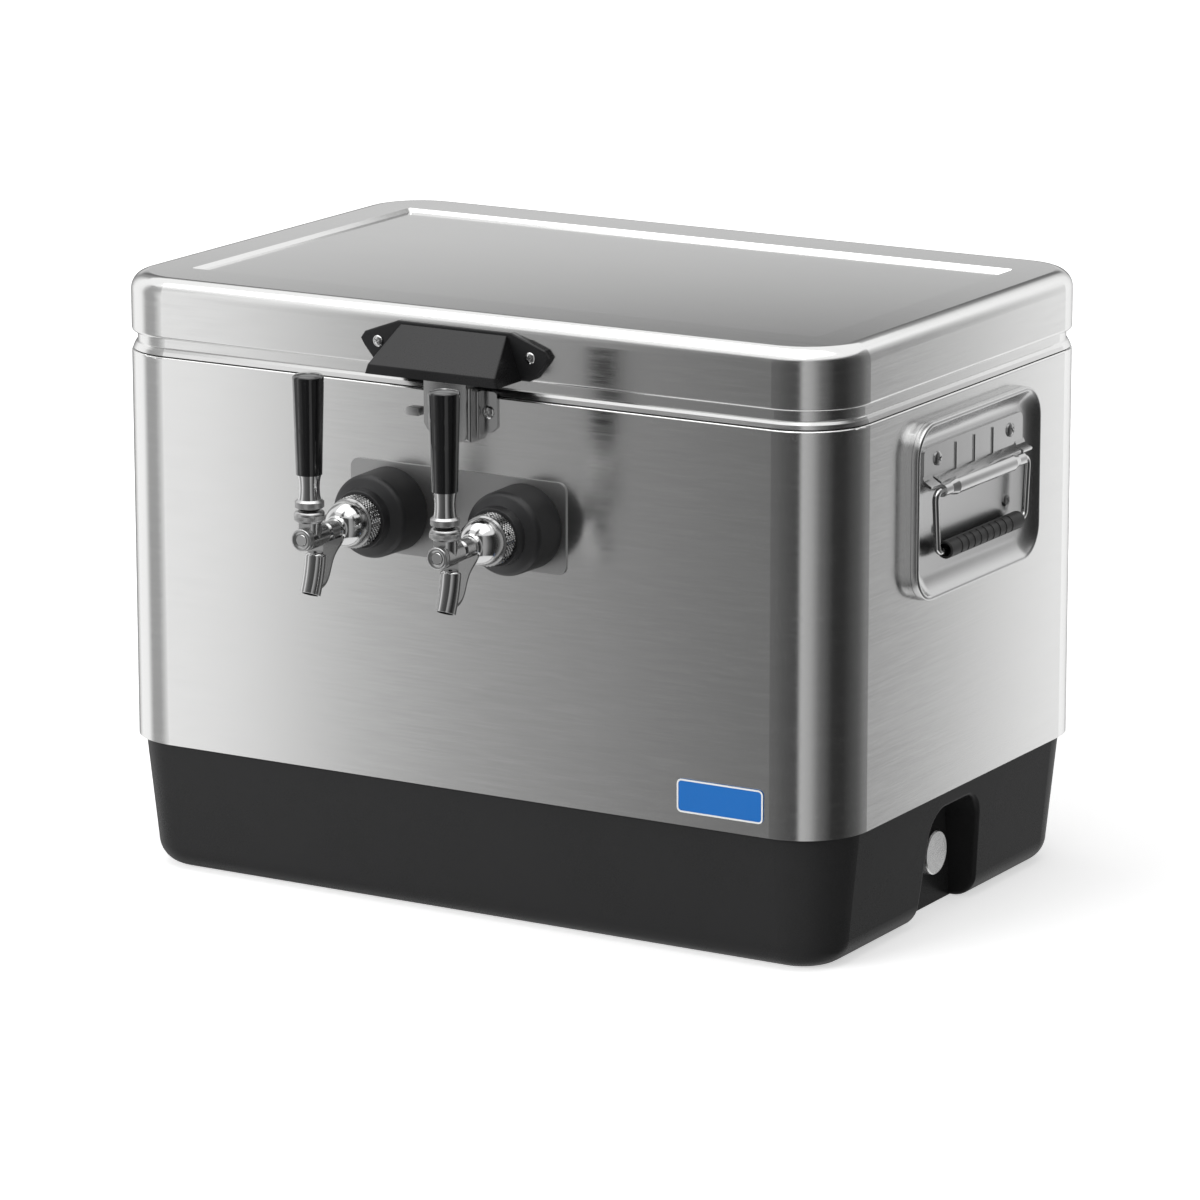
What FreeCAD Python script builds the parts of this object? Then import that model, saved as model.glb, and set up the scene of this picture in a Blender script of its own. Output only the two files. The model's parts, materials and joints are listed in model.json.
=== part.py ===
import FreeCAD, Part
import math
import os
from FreeCAD import Placement, Rotation, Vector

os.makedirs("parts", exist_ok=True)

# Jockey box: an insulated steel-belted cooler that pours chilled draught drinks through two faucets.
# Frame: origin in the middle of the footprint on the floor, +Z up, front (faucets) towards -Y,
# right end (drain) towards +X.  Millimetres.

# --- cooler body ---------------------------------------------------------------------------------
WIDTH = 650.0
DEPTH = 430.0
HEIGHT = 480.0
CORNER_R = 54.0
SHEET = 1.2

BASE_TOP = 108.0
BASE_FOOT_INSET = 16.5
BASE_LIP_INSET = 5.5
BASE_EDGE_R = 21.0
BASE_WALL = 4.0
BASE_FLOOR = 7.0
BASE_COLLAR_TOP = 122.0

BELT_BOTTOM = 107.0
BELT_TOP = 419.0
BELT_LIP_R = 2.0
BELT_LIP_REACH = 8.0

LINER_WALL = 3.0
LINER_TOP_INSET = 28.0
LINER_FOOT_INSET = 46.0
LINER_FLOOR = 30.0
LINER_FOOT_R = 10.0
LINER_RIM_Z = (415.0, BELT_TOP)
LINER_RIM_INSET = 8.5
LINER_ROUNDER = 26.0
FIT_GAP = 0.3

# --- lid -----------------------------------------------------------------------------------------
LID_BOTTOM = 419.8
SKIRT_BOTTOM = 433.0
BAND_INSET = 4.5
LID_EDGE_R = 14.0
LID_LEDGE = ((0.9, LID_BOTTOM), (2.2, 422.8), (3.4, 424.8), (4.5, 425.8))
SKIRT_EDGE_R = 3.0
PANEL_WIDTH = 560.0
PANEL_DEPTH = 320.0
PANEL_SUNK = 2.8
LID_LINER_PLATE = 3.0
LID_DOME_RISE = 14.0
LID_DOME_MARGIN = 46.0

# --- hinges --------------------------------------------------------------------------------------
HINGE_X = 200.0
HINGE_Y = DEPTH / 2 + 5.0
HINGE_Z = 420.0
HINGE_HALF_WIDTH = 30.0
HINGE_LEAF = 2.0
KNUCKLE_R = 5.0
KNUCKLE_SPLIT = 10.0
KNUCKLE_GAP = 0.25
HINGE_PIN_R = 2.5
RUNNING_GAP = 0.1
BODY_LEAF_Z = (372.0, 413.5)
LID_LEAF_Z = (426.5, 468.0)
HINGE_SCREW_X = 19.0
BODY_SCREW_Z = (382.0, 402.0)
LID_SCREW_Z = (438.0, 458.0)

# --- lid handle, hasp and latch ------------------------------------------------------------------
HOOD_TOP_Z = 468.0
HOOD_LIP_Z = 441.7
HOOD_BOTTOM_Z = 434.5
HOOD_REACH = 38.5
HOOD_TOP_HALF = 47.0
HOOD_BOTTOM_HALF = 59.0
HOOD_BACK = 5.0
HOOD_WALL = 3.0
EAR_TOP = (50.0, 470.5)
EAR_TIP = (84.0, 454.0)
EAR_FOOT = ((71.0, 437.0), (66.0, HOOD_BOTTOM_Z))
EAR_SCREW = (67.6, 453.0)
LUG_X = (20.5, 24.5)
LUG_REACH = 5.0
LUG_TOP_Z = 450.0

LATCH_Z = 405.5
HASP_PIVOT_Z = 437.4
HASP_PIVOT_OUT = 17.5
HASP_THICK = 2.0
HASP_HALF = 18.7
HASP_FOOT_R = HASP_HALF + 1.5
HASP_KNUCKLE_R = 2.9
HASP_PIN_R = 1.5
HASP_HOLE_R = 13.0
HASP_NECK_HALF = 7.0
KEEPER_OUT = 12.5
KEEPER_HALF = 18.5
KEEPER_BOTTOM_Z = 384.0
KEEPER_TOP_Z = 425.5
KEEPER_WALL = 2.0
KEEPER_STEP = (4.0, 7.0)
EAR_PLATE_X = 36.0
EAR_PLATE_Z = (387.0, 423.0)
EAR_PLATE_RISE = (391.5, 396.0)
LATCH_SCREW = (28.5, 407.0)
SPINDLE_R = 4.0
CAM_R = 12.0
CAM_HEAD_R = 16.5
CAM_FLAT_HALF = 6.5
LEVER_TIP = 33.5
LEVER_HALF = 3.2
LEVER_GRIP = 12.0
LEVER_FRONT = 22.0

# --- end handles ---------------------------------------------------------------------------------
PAN_Z = 337.5
PAN_SIZE = (206.0, 138.0, 27.0)
PAN_CREST = 10.0
PAN_DRAFT = 1.2
PAN_RIM = 3.4
PAN_FLOOR = 2.0
PAN_FLOOR_SIZE = (173.0, 105.0, 12.0)
PAN_SHEET = 1.5
BAIL_OUT = 11.0
BAIL_Z = 352.0
BAIL_ROD_R = 2.6
BAIL_BEND = 6.5
GRIP_Z = 305.0
GRIP_R = 7.3
GRIP_HALF = 60.0
BAIL_TOP_HALF = 77.0
BAIL_FOOT_HALF = 72.5
PLATE_HALF = 82.0
PLATE_TOP_Z = 386.0
PLATE_FOLD_Z = 361.5
PLATE_SHEET = 1.8
PLATE_FACE = PAN_FLOOR + PLATE_SHEET
BARREL_R = 6.7
BARREL_HALF = 47.0
BARREL_CONE = 56.0
KNUCKLE_END_R = 5.0
KNUCKLE_END_HALF = 66.5
EAR_SLOT = 69.0
STOP_HALF = 84.0
STOP_OUT = 10.5
STOP_Z = 356.0
BEAD_Y = 30.6
BEAD_R = 1.7
BEAD_Z = (361.0, 382.5)
HANDLE_BOLT_TOP = (60.2, 375.0)
HANDLE_BOLT_LOW = (58.0, 319.7)

# --- faucets (u is the distance out from the front wall) -----------------------------------------
TAP_X = 59.8
TAP_Z = 322.3
TAP_PLATE = (192.0, 71.0, 7.0)
TAP_PLATE_Z = 323.5
TAP_PLATE_SHEET = 1.5
CUP_R = 33.0
CUP_SIDE_U = 33.5
CUP_FRONT_U = 39.5
CUP_NECK_R = 22.3
CUP_U = 47.0
CUP_WALL = 3.0
NUT_R = 19.2
NUT_U = (43.0, 60.5)
NUT_LIP = 2.5
NUT_HOLES = 6
NUT_HOLE_R = 1.6
FAUCET_TAIL_R = 12.2
BELL_R = 18.0
BARREL_TUBE_R = 7.6
CHAMBER_R = 9.0
CHAMBER_U = 100.0
LEVER_U = 114.5
GUIDE_U = (122.0, 127.5)
GUIDE_R = 8.6
GUIDE_PLUG = 5.0
BORE_R = 5.7
SHAFT_R = 3.2
SHAFT_HEAD_R = 4.5
SHAFT_HEAD_U = 102.0
SEAT_U = 68.5
SEAT_R = 4.6
INLET_CHAMBER_R = 8.0
SPOUT_R = 7.9
SPOUT_BORE_R = 6.3
SPOUT_LINE = ((107.0, 309.4), (109.7, 294.0), (115.2, 278.5))
SPOUT_SHOULDER_R = 2.8
WEB_BACK = ((69.0, 317.0), (81.0, 307.6), (88.5, 301.4), (94.5, 290.0), (106.5, 280.5))
WEB_FRONT = ((111.5, 280.5), (107.5, 300.0), (107.5, 317.0))
WEB_HALF = 7.0
WEB_ROUND = 5.5
PASSAGE = ((96.0, 320.0), (109.0, 297.0))
PASSAGE_R = 5.2
LEVER_PIVOT_Z = 338.5
LEVER_BALL_R = 4.7
LEVER_TIP_R = 1.8
LEVER_TIP_Z = TAP_Z + 1.8
THROAT_R = 6.2
BONNET_Z = (334.5, 343.6)
BONNET_R = 11.7
BONNET_MOUTH_R = 7.6
COLLAR_Z = (345.4, 351.9)
COLLAR_R = 10.9
LEVER_NECK_R = 4.5
STUD_R = 3.0
FERRULE_TOP_Z = 370.8
FERRULE_WAIST = (7.8, 359.5)
HANDLE_TOP_Z = 448.0
HANDLE_SIDES = 10
HANDLE_FOOT_R = 9.9
HANDLE_CROWN_R = 12.0
SHANK_R = 11.0
SHANK_FLANGE = (17.0, 6.0)
SHANK_HEAD = (14.0, 39.0)
SHANK_BORE_R = 4.0
SHANK_IN_U = -58.0
WALL_INNER_U = -36.3

# --- drink circuit -------------------------------------------------------------------------------
COLD_PLATE = (381.0, 254.0, 38.0)
PLATE_GROOVES = 9
PLATE_GROOVE_PITCH = 18.0
LINE_R = 4.75
LINE_BORE_R = 3.9
LINE_BEND = 40.0
LINE_Y = 90.0
LINE_END_U = -66.0
SOCKET_R = 6.4
SOCKET_DEPTH = 8.0
LINE_NUT_FLATS = 17.0
LINE_NUT_LENGTH = 14.0
STUB_HEIGHT = 18.0
TAIL_FLANGE_R = 9.0
TAIL_NUT_FLATS = 28.0
INLET_OUT_U = 30.0
INLET_THREAD_R = 11.0

# --- drain ---------------------------------------------------------------------------------------
DRAIN_Z = 48.0
RECESS_TOP_HALF = 38.5
RECESS_FOOT_HALF = 48.0
RECESS_MOUTH_R = 3.2
RECESS_TOP_Z = 91.0
RECESS_R = 24.0
RECESS_BACK_X = 287.0
RECESS_WALL = 3.5
DRAIN_TUBE_R = 12.2
DRAIN_TUBE_X = (273.0, 298.0)
DRAIN_CAP_R = 17.5
DRAIN_CAP_BORE_R = 13.7
DRAIN_CAP_X = (293.0, 301.0)

# --- badge ---------------------------------------------------------------------------------------
BADGE_X = 229.5
BADGE_Z = 130.5
BADGE_SIZE = (74.0, 26.0)
BADGE_SHEET = 1.0

X = Vector(1, 0, 0)
Y = Vector(0, 1, 0)
Z = Vector(0, 0, 1)
FRONT = -DEPTH / 2
BACK = DEPTH / 2
END = WIDTH / 2
SIDES = {"left": -1, "right": 1}


# --- shape helpers -------------------------------------------------------------------------------
def block(x, y, z):
    """Box between the low and high values of each axis."""
    return Part.makeBox(x[1] - x[0], y[1] - y[0], z[1] - z[0], Vector(x[0], y[0], z[0]))


def rounded_outline(width, height, radius):
    """Closed wire of a rounded rectangle about the origin, in the XY plane."""
    a = width / 2
    b = height / 2
    k = radius * (1 - math.sqrt(0.5))
    corners = [(1, -1), (1, 1), (-1, 1), (-1, -1)]
    edges = []
    for index, (sx, sy) in enumerate(corners):
        along_y = Vector(sx * a, sy * (b - radius), 0)
        along_x = Vector(sx * (a - radius), sy * b, 0)
        middle = Vector(sx * (a - k), sy * (b - k), 0)
        start, end = (along_x, along_y) if index % 2 == 0 else (along_y, along_x)
        edges.append(Part.Arc(start, middle, end).toShape())
    sides = []
    for index, edge in enumerate(edges):
        after = edges[(index + 1) % 4]
        sides += [edge, Part.makeLine(edge.Vertexes[-1].Point, after.Vertexes[0].Point)]
    return Part.Wire(sides)


def loft(sections):
    """Straight-sided solid through (wire, height) sections stacked along Z."""
    wires = []
    for wire, height in sections:
        placed = wire.copy()
        placed.translate(Vector(0, 0, height))
        wires.append(placed)
    return Part.makeLoft(wires, True, True)


def plan(inset, rounder=0.0):
    """Outline of the cooler's plan, inset all round."""
    return rounded_outline(WIDTH - 2 * inset, DEPTH - 2 * inset, max(CORNER_R - inset + rounder, 8.0))


def tapered(z_low, inset_low, z_high, inset_high, rounder=0.0):
    """Rounded body of the cooler's plan, inset by different amounts at its two heights."""
    return loft([(plan(inset_low, rounder), z_low), (plan(inset_high, rounder), z_high)])


def fillet_where(shape, radius, test):
    """Round the edges whose centre of mass passes the test."""
    return shape.makeFillet(radius, [e for e in shape.Edges if test(e.CenterOfMass)])


def turned(profile, base, direction):
    """Solid turned about an axis: a (radius, height) point ends a line, a pair of points ends an arc."""
    edges = []
    start = here = Vector(profile[0][0], 0, profile[0][1])
    for step in profile[1:]:
        if isinstance(step[0], tuple):
            through, end = [Vector(r, 0, h) for r, h in step]
            edges.append(Part.Arc(here, through, end).toShape())
        else:
            end = Vector(step[0], 0, step[1])
            edges.append(Part.makeLine(here, end))
        here = end
    edges.append(Part.makeLine(here, start))
    solid = Part.Face(Part.Wire(edges)).revolve(Vector(0, 0, 0), Z, 360)
    return aimed(solid, base, direction)


def aimed(shape, base, direction):
    """Carry a shape that stands on +Z at the origin to base, pointing along direction."""
    shape.Placement = Placement(base, Rotation(Z, direction)).multiply(shape.Placement)
    return shape


def rod(start, end, radius):
    """Round bar between two points."""
    return Part.makeCylinder(radius, (end - start).Length, start, end - start)


def tube(start, end, outer, inner):
    """Round tube between two points."""
    return rod(start, end, outer).cut(rod(start, end, inner))


def hexagon(across_flats, base, direction, length):
    """Hexagonal bar of nut stock."""
    corner = across_flats / math.sqrt(3)
    points = [Vector(corner * math.cos(a), corner * math.sin(a), 0)
              for a in (math.radians(60 * i) for i in range(6))]
    face = Part.Face(Part.makePolygon(points + points[:1]))
    return aimed(face.extrude(Vector(0, 0, length)), base, direction)


def prism(points, start, along):
    """Extrude a polygon of 3-D points, moved to start, by the vector along."""
    face = Part.Face(Part.makePolygon(points + points[:1]))
    face.translate(start)
    return face.extrude(along)


def bent_path(points, bend):
    """Wire of straight runs joined by tangent arcs of one radius at every inner point."""
    edges = []
    last = points[0]
    for before, corner, after in zip(points, points[1:], points[2:]):
        back = (before - corner).normalize()
        ahead = (after - corner).normalize()
        half = math.acos(back.dot(ahead)) / 2
        reach = bend / math.tan(half)
        start = corner + back * reach
        end = corner + ahead * reach
        bisector = (back + ahead).normalize()
        middle = corner + bisector * (bend / math.sin(half) - bend)
        if (start - last).Length > 1e-6:
            edges.append(Part.makeLine(last, start))
        edges.append(Part.Arc(start, middle, end).toShape())
        last = end
    edges.append(Part.makeLine(last, points[-1]))
    return Part.Wire(edges)


def bent_rod(points, bend, radius):
    """Round bar or hose along a bent path."""
    direction = points[1] - points[0]
    ring = Part.Wire([Part.makeCircle(radius, points[0], direction)])
    return bent_path(points, bend).makePipeShell([ring], True, True)


def mirrored(shape):
    """The same shape for the other end of the cooler."""
    return shape.mirror(Vector(0, 0, 0), X)


def for_side(shape, side):
    """A shape modelled at the right end, carried to the named end."""
    return shape if SIDES[side] > 0 else mirrored(shape)


def at_wall(u, x=0.0, z=TAP_Z):
    """Point at distance u outside the front wall."""
    return Vector(x, FRONT - u, z)


def at_end(out, y, z):
    """Point at distance out beyond the right end wall."""
    return Vector(END + out, y, z)


def pan_head(base, direction, radius, length):
    """Pan-head screw: domed head outside base, shank behind it."""
    dome = turned([(0, 0), (radius, 0), (radius * 0.92, 1.1), (radius * 0.6, 2.0), (0, 2.3)], base, direction)
    return dome.fuse(rod(base - direction * length, base, radius * 0.45))


def save(name, *shapes):
    """Write one sub-part, made of one or more closed solids."""
    solids = [solid for shape in shapes for solid in shape.Solids]
    if not solids or not all(solid.isValid() for solid in solids):
        raise ValueError("bad solid in " + name)
    whole = solids[0] if len(solids) == 1 else Part.makeCompound(solids)
    whole.exportStep("parts/" + name + ".step")
    print(name, len(solids), round(sum(solid.Volume for solid in solids) / 1000.0, 1))


# --- fasteners that several parts are drilled for ------------------------------------------------
def handle_bolts():
    """Four bolts of the right end handle."""
    bolts = []
    for side in (-1, 1):
        y, z = HANDLE_BOLT_TOP
        bolts.append(pan_head(at_end(PLATE_FACE, side * y, z), X, 5.0, 9.0))
        y, z = HANDLE_BOLT_LOW
        bolts.append(pan_head(at_end(PAN_FLOOR, side * y, z), X, 4.4, 8.0))
    return Part.makeCompound(bolts)


def hinge_screws(heights):
    """Screws of both hinges in one pair of leaves."""
    screws = []
    for side in (-1, 1):
        for x in (-HINGE_SCREW_X, HINGE_SCREW_X):
            for z in heights:
                base = Vector(side * HINGE_X + x, BACK + HINGE_LEAF, z)
                screws.append(pan_head(base, Y, 4.2, 8.0))
    return Part.makeCompound(screws)


def hood_screws():
    """Two screws of the lid handle."""
    screws = []
    for side in (-1, 1):
        base = Vector(side * EAR_SCREW[0], FRONT - HOOD_BACK, EAR_SCREW[1])
        screws.append(pan_head(base, -Y, 4.4, 12.0))
    return Part.makeCompound(screws)


def latch_screw():
    """Screw in the ear of the latch keeper."""
    return pan_head(Vector(LATCH_SCREW[0], FRONT - KEEPER_WALL, LATCH_SCREW[1]), -Y, 5.0, 10.0)


def shank_drills():
    """Four shank holes: two faucets in the front wall and two inlets in the back wall."""
    drills = []
    for x in (-TAP_X, TAP_X):
        drills.append(rod(at_wall(5, x), at_wall(SHANK_IN_U, x), SHANK_R))
        drills.append(rod(Vector(x, BACK + 5, TAP_Z), Vector(x, BACK + SHANK_IN_U, TAP_Z), SHANK_R))
    return Part.makeCompound(drills)


def drain_drill():
    """Hole for the drain tube through the liner, insulation and base."""
    return rod(Vector(265, 0, DRAIN_Z), Vector(300, 0, DRAIN_Z), DRAIN_TUBE_R)


# --- cooler body ---------------------------------------------------------------------------------
def recess_arch(grow, x_low, x_high):
    """Arched drain recess, open at the floor, with sides that spread towards it."""
    top = RECESS_TOP_Z + grow
    high = RECESS_TOP_HALF + grow
    low = RECESS_FOOT_HALF + grow
    points = [Vector(0, -low, -2), Vector(0, -high, top), Vector(0, high, top), Vector(0, low, -2)]
    arch = prism(points, Vector(x_low, 0, 0), Vector(x_high - x_low, 0, 0))
    return fillet_where(arch, RECESS_R + grow, lambda c: c.z > top - 0.1 and abs(abs(c.y) - high) < 0.1)


def base_outer():
    """Outside of the moulded base, tapered with a rounded bottom edge."""
    body = tapered(0, BASE_FOOT_INSET, BASE_TOP, BASE_LIP_INSET)
    return fillet_where(body, BASE_EDGE_R, lambda c: c.z < 0.1)


def base_block():
    """Outside of the base with the drain recess cut in it and its mouth rounded."""
    block_out = base_outer().cut(recess_arch(0, RECESS_BACK_X, END + 5))
    foot_x = END - BASE_FOOT_INSET
    return fillet_where(block_out, RECESS_MOUTH_R, lambda c: abs(c.y) < RECESS_FOOT_HALF + 1 and
                        c.z < RECESS_TOP_Z + 1 and (c.x > foot_x or (c.x > RECESS_BACK_X + 4 and 1 < c.z < 15)))


def base_inner(shrink=0.0):
    """Space inside the base wall."""
    wall = BASE_WALL + shrink
    body = tapered(BASE_FLOOR + shrink, BASE_FOOT_INSET + wall, BASE_TOP, BASE_LIP_INSET + wall)
    return fillet_where(body, BASE_EDGE_R - wall, lambda c: c.z < BASE_FLOOR + shrink + 0.1)


def make_base():
    shell = base_block().cut(base_inner().cut(recess_arch(RECESS_WALL, RECESS_BACK_X - RECESS_WALL, END)))
    collar = tapered(BASE_TOP - 0.5, SHEET + FIT_GAP, BASE_COLLAR_TOP, SHEET + FIT_GAP)
    collar = collar.cut(tapered(BASE_TOP - 1, BASE_LIP_INSET + BASE_WALL, BASE_COLLAR_TOP + 1,
                                BASE_LIP_INSET + BASE_WALL))
    collar = collar.cut(tapered(BASE_TOP - 1, -5, BASE_TOP, -5).cut(
        tapered(BASE_TOP - 1, BASE_LIP_INSET, BASE_TOP, BASE_LIP_INSET)))
    return shell.fuse(collar).cut(drain_drill()).removeSplitter()


def belt_solid(grow=0.0):
    """Straight rounded body of the belt, with its top edge rounded in."""
    body = tapered(BELT_BOTTOM - 5 * (grow > 0), grow, BELT_TOP - grow, grow)
    return fillet_where(body, BELT_LIP_R - grow, lambda c: c.z > BELT_TOP - grow - 0.1)


def make_belt(drills):
    belt = belt_solid().cut(belt_solid(SHEET))
    mouth = tapered(BELT_TOP - 10, BELT_LIP_REACH, BELT_TOP + 5, BELT_LIP_REACH)
    return belt.cut(mouth).cut(drills)


def liner_body(offset):
    """Tapered liner cavity, grown outwards by offset."""
    floor = LINER_FLOOR - offset
    shift = LINER_WALL - offset
    body = tapered(floor, LINER_FOOT_INSET + shift, BELT_TOP, LINER_TOP_INSET + shift, LINER_ROUNDER)
    return fillet_where(body, LINER_FOOT_R + offset, lambda c: c.z < floor + 0.1)


def make_liner(drills):
    rim = tapered(LINER_RIM_Z[0], LINER_RIM_INSET, LINER_RIM_Z[1], LINER_RIM_INSET)
    liner = liner_body(LINER_WALL).fuse(rim).cut(liner_body(0))
    return liner.removeSplitter().cut(drills).cut(drain_drill())


def make_body_insulation(drills):
    lower = base_inner(FIT_GAP)
    inset = BASE_LIP_INSET + BASE_WALL + FIT_GAP
    neck = tapered(BASE_TOP - 1, inset, BASE_COLLAR_TOP + 1, inset)
    upper = tapered(BASE_COLLAR_TOP + FIT_GAP, SHEET + FIT_GAP, LINER_RIM_Z[0] - FIT_GAP, SHEET + FIT_GAP)
    foam = lower.fuse(neck).fuse(upper).cut(liner_body(LINER_WALL + FIT_GAP))
    foam = foam.cut(recess_arch(RECESS_WALL + FIT_GAP, RECESS_BACK_X - RECESS_WALL - FIT_GAP, END))
    foam = foam.cut(tapered(LINER_RIM_Z[0] - FIT_GAP, 0, BELT_TOP + 1, 0))
    return foam.removeSplitter().cut(drills).cut(drain_drill())


# --- lid -----------------------------------------------------------------------------------------
def sunken_panel(lower, reach_up):
    """Shallow rectangular depression of the lid top, with 45-degree walls."""
    top = HEIGHT - lower
    rise = PANEL_SUNK + reach_up
    upper = rounded_outline(PANEL_WIDTH + 2 * reach_up, PANEL_DEPTH + 2 * reach_up, 3.0)
    floor = rounded_outline(PANEL_WIDTH - 2 * PANEL_SUNK, PANEL_DEPTH - 2 * PANEL_SUNK, 1.5)
    return loft([(floor, top - PANEL_SUNK), (upper, top - PANEL_SUNK + rise)])


def lid_form(grow):
    """Closed form of the lid shell, inset by the sheet: skirt, rounded edges and inset band."""
    skirt = tapered(SKIRT_BOTTOM + grow, grow, HEIGHT - grow, grow)
    skirt = fillet_where(skirt, LID_EDGE_R - grow, lambda c: c.z > HEIGHT - grow - 0.1)
    skirt = fillet_where(skirt, SKIRT_EDGE_R - grow * 0.8, lambda c: c.z < SKIRT_BOTTOM + grow + 0.1)
    band = tapered(LID_BOTTOM - (1 if grow else 0), BAND_INSET + grow, SKIRT_BOTTOM + 5, BAND_INSET + grow)
    return skirt.fuse(band).cut(sunken_panel(grow, 3.0))


def lid_ledge():
    """Rounded ledge at the foot of the lid's band, nearly flush with the belt below it."""
    return loft([(plan(inset), z) for inset, z in LID_LEDGE])


def make_lid_skin(screws):
    return lid_form(0).fuse(lid_ledge()).cut(lid_form(SHEET)).removeSplitter().cut(screws)


def lid_liner_form(offset):
    """Raised middle of the lid liner."""
    margin = BAND_INSET + LID_DOME_MARGIN - offset
    low = rounded_outline(WIDTH - 2 * margin, DEPTH - 2 * margin, 24.0 + offset)
    high = rounded_outline(WIDTH - 2 * margin - 24, DEPTH - 2 * margin - 24, 14.0 + offset)
    return loft([(low, LID_BOTTOM - (0 if offset else 1)), (high, LID_BOTTOM + LID_DOME_RISE + offset)])


def make_lid_liner():
    inset = BAND_INSET + SHEET + FIT_GAP
    plate = tapered(LID_BOTTOM, inset, LID_BOTTOM + LID_LINER_PLATE, inset)
    return plate.fuse(lid_liner_form(LID_LINER_PLATE)).cut(lid_liner_form(0)).removeSplitter()


def make_lid_insulation(screws):
    filling = lid_form(SHEET + FIT_GAP)
    plate = tapered(LID_BOTTOM - 5, BAND_INSET - 2, LID_BOTTOM + LID_LINER_PLATE + FIT_GAP, BAND_INSET - 2)
    dome = lid_liner_form(LID_LINER_PLATE + FIT_GAP)
    return filling.cut(plate).cut(dome).cut(screws)


# --- hinges --------------------------------------------------------------------------------------
def knuckles(ranges, bore):
    parts = []
    for low, high in ranges:
        parts.append(tube(Vector(low, HINGE_Y, HINGE_Z), Vector(high, HINGE_Y, HINGE_Z), KNUCKLE_R, bore))
    return parts


def hinge_leaf(leaf_z, ranges, bore):
    """Leaf plate at the hinge's middle, with tabs that roll into its knuckles."""
    y = (BACK, BACK + HINGE_LEAF)
    plate = block((-HINGE_HALF_WIDTH, HINGE_HALF_WIDTH), y, leaf_z)
    outer_z = leaf_z[0] if leaf_z[0] < HINGE_Z else leaf_z[1]
    plate = fillet_where(plate, 6.0, lambda c: abs(c.z - outer_z) < 0.1 and
                         abs(abs(c.x) - HINGE_HALF_WIDTH) < 0.1)
    near = max(leaf_z[0], min(HINGE_Z, leaf_z[1]))
    pin_hole = rod(Vector(-50, HINGE_Y, HINGE_Z), Vector(50, HINGE_Y, HINGE_Z), bore)
    for (low, high), knuckle in zip(ranges, knuckles(ranges, bore)):
        tab = block((low, high), y, (min(near, HINGE_Z), max(near, HINGE_Z)))
        plate = plate.fuse(tab).fuse(knuckle)
    return plate.cut(pin_hole).removeSplitter()


def make_hinges(body_screws, lid_screws):
    inner = KNUCKLE_SPLIT - KNUCKLE_GAP
    outer = KNUCKLE_SPLIT + KNUCKLE_GAP
    body_ranges = [(-HINGE_HALF_WIDTH, -outer), (outer, HINGE_HALF_WIDTH)]
    body_leaf = hinge_leaf(BODY_LEAF_Z, body_ranges, HINGE_PIN_R)
    lid_leaf = hinge_leaf(LID_LEAF_Z, [(-inner, inner)], HINGE_PIN_R + RUNNING_GAP)
    body_leaves = []
    lid_leaves = []
    pins = []
    for side in (-1, 1):
        offset = Vector(side * HINGE_X, 0, 0)
        for leaf, leaves in ((body_leaf, body_leaves), (lid_leaf, lid_leaves)):
            placed = leaf.copy()
            placed.translate(offset)
            leaves.append(placed)
        start = Vector(side * HINGE_X - HINGE_HALF_WIDTH, HINGE_Y, HINGE_Z)
        end = Vector(side * HINGE_X + HINGE_HALF_WIDTH, HINGE_Y, HINGE_Z)
        pins.append(rod(start, end, HINGE_PIN_R))
    save("hinge_body_leaves", *[leaf.cut(body_screws) for leaf in body_leaves])
    save("hinge_lid_leaves", *[leaf.cut(lid_screws) for leaf in lid_leaves])
    save("hinge_pins", *pins)


# --- lid handle, hasp and latch ------------------------------------------------------------------
def hood_wedge(wall):
    """Wedge of the lid handle, inset by a wall: a side profile crossed with a front outline."""
    face = FRONT - HOOD_BACK + 1
    lip = FRONT - HOOD_REACH + wall
    low = HOOD_BOTTOM_Z - (5 if wall else 0)
    profile = [Vector(0, face, HOOD_TOP_Z - wall * 1.6), Vector(0, face - 2, HOOD_TOP_Z - wall * 1.6),
               Vector(0, lip, HOOD_LIP_Z - wall * 0.6), Vector(0, lip, low), Vector(0, face, low)]
    side_view = prism(profile, Vector(-100, 0, 0), Vector(200, 0, 0))
    spread = (HOOD_BOTTOM_HALF - HOOD_TOP_HALF) / (HOOD_TOP_Z - HOOD_BOTTOM_Z)
    top_half = HOOD_TOP_HALF - wall
    low_half = top_half + spread * (HOOD_TOP_Z - low)
    outline = [Vector(-top_half, 0, HOOD_TOP_Z), Vector(top_half, 0, HOOD_TOP_Z),
               Vector(low_half, 0, low), Vector(-low_half, 0, low)]
    front_view = prism(outline, Vector(0, FRONT + 5, 0), Vector(0, -60, 0))
    return side_view.common(front_view)


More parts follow.
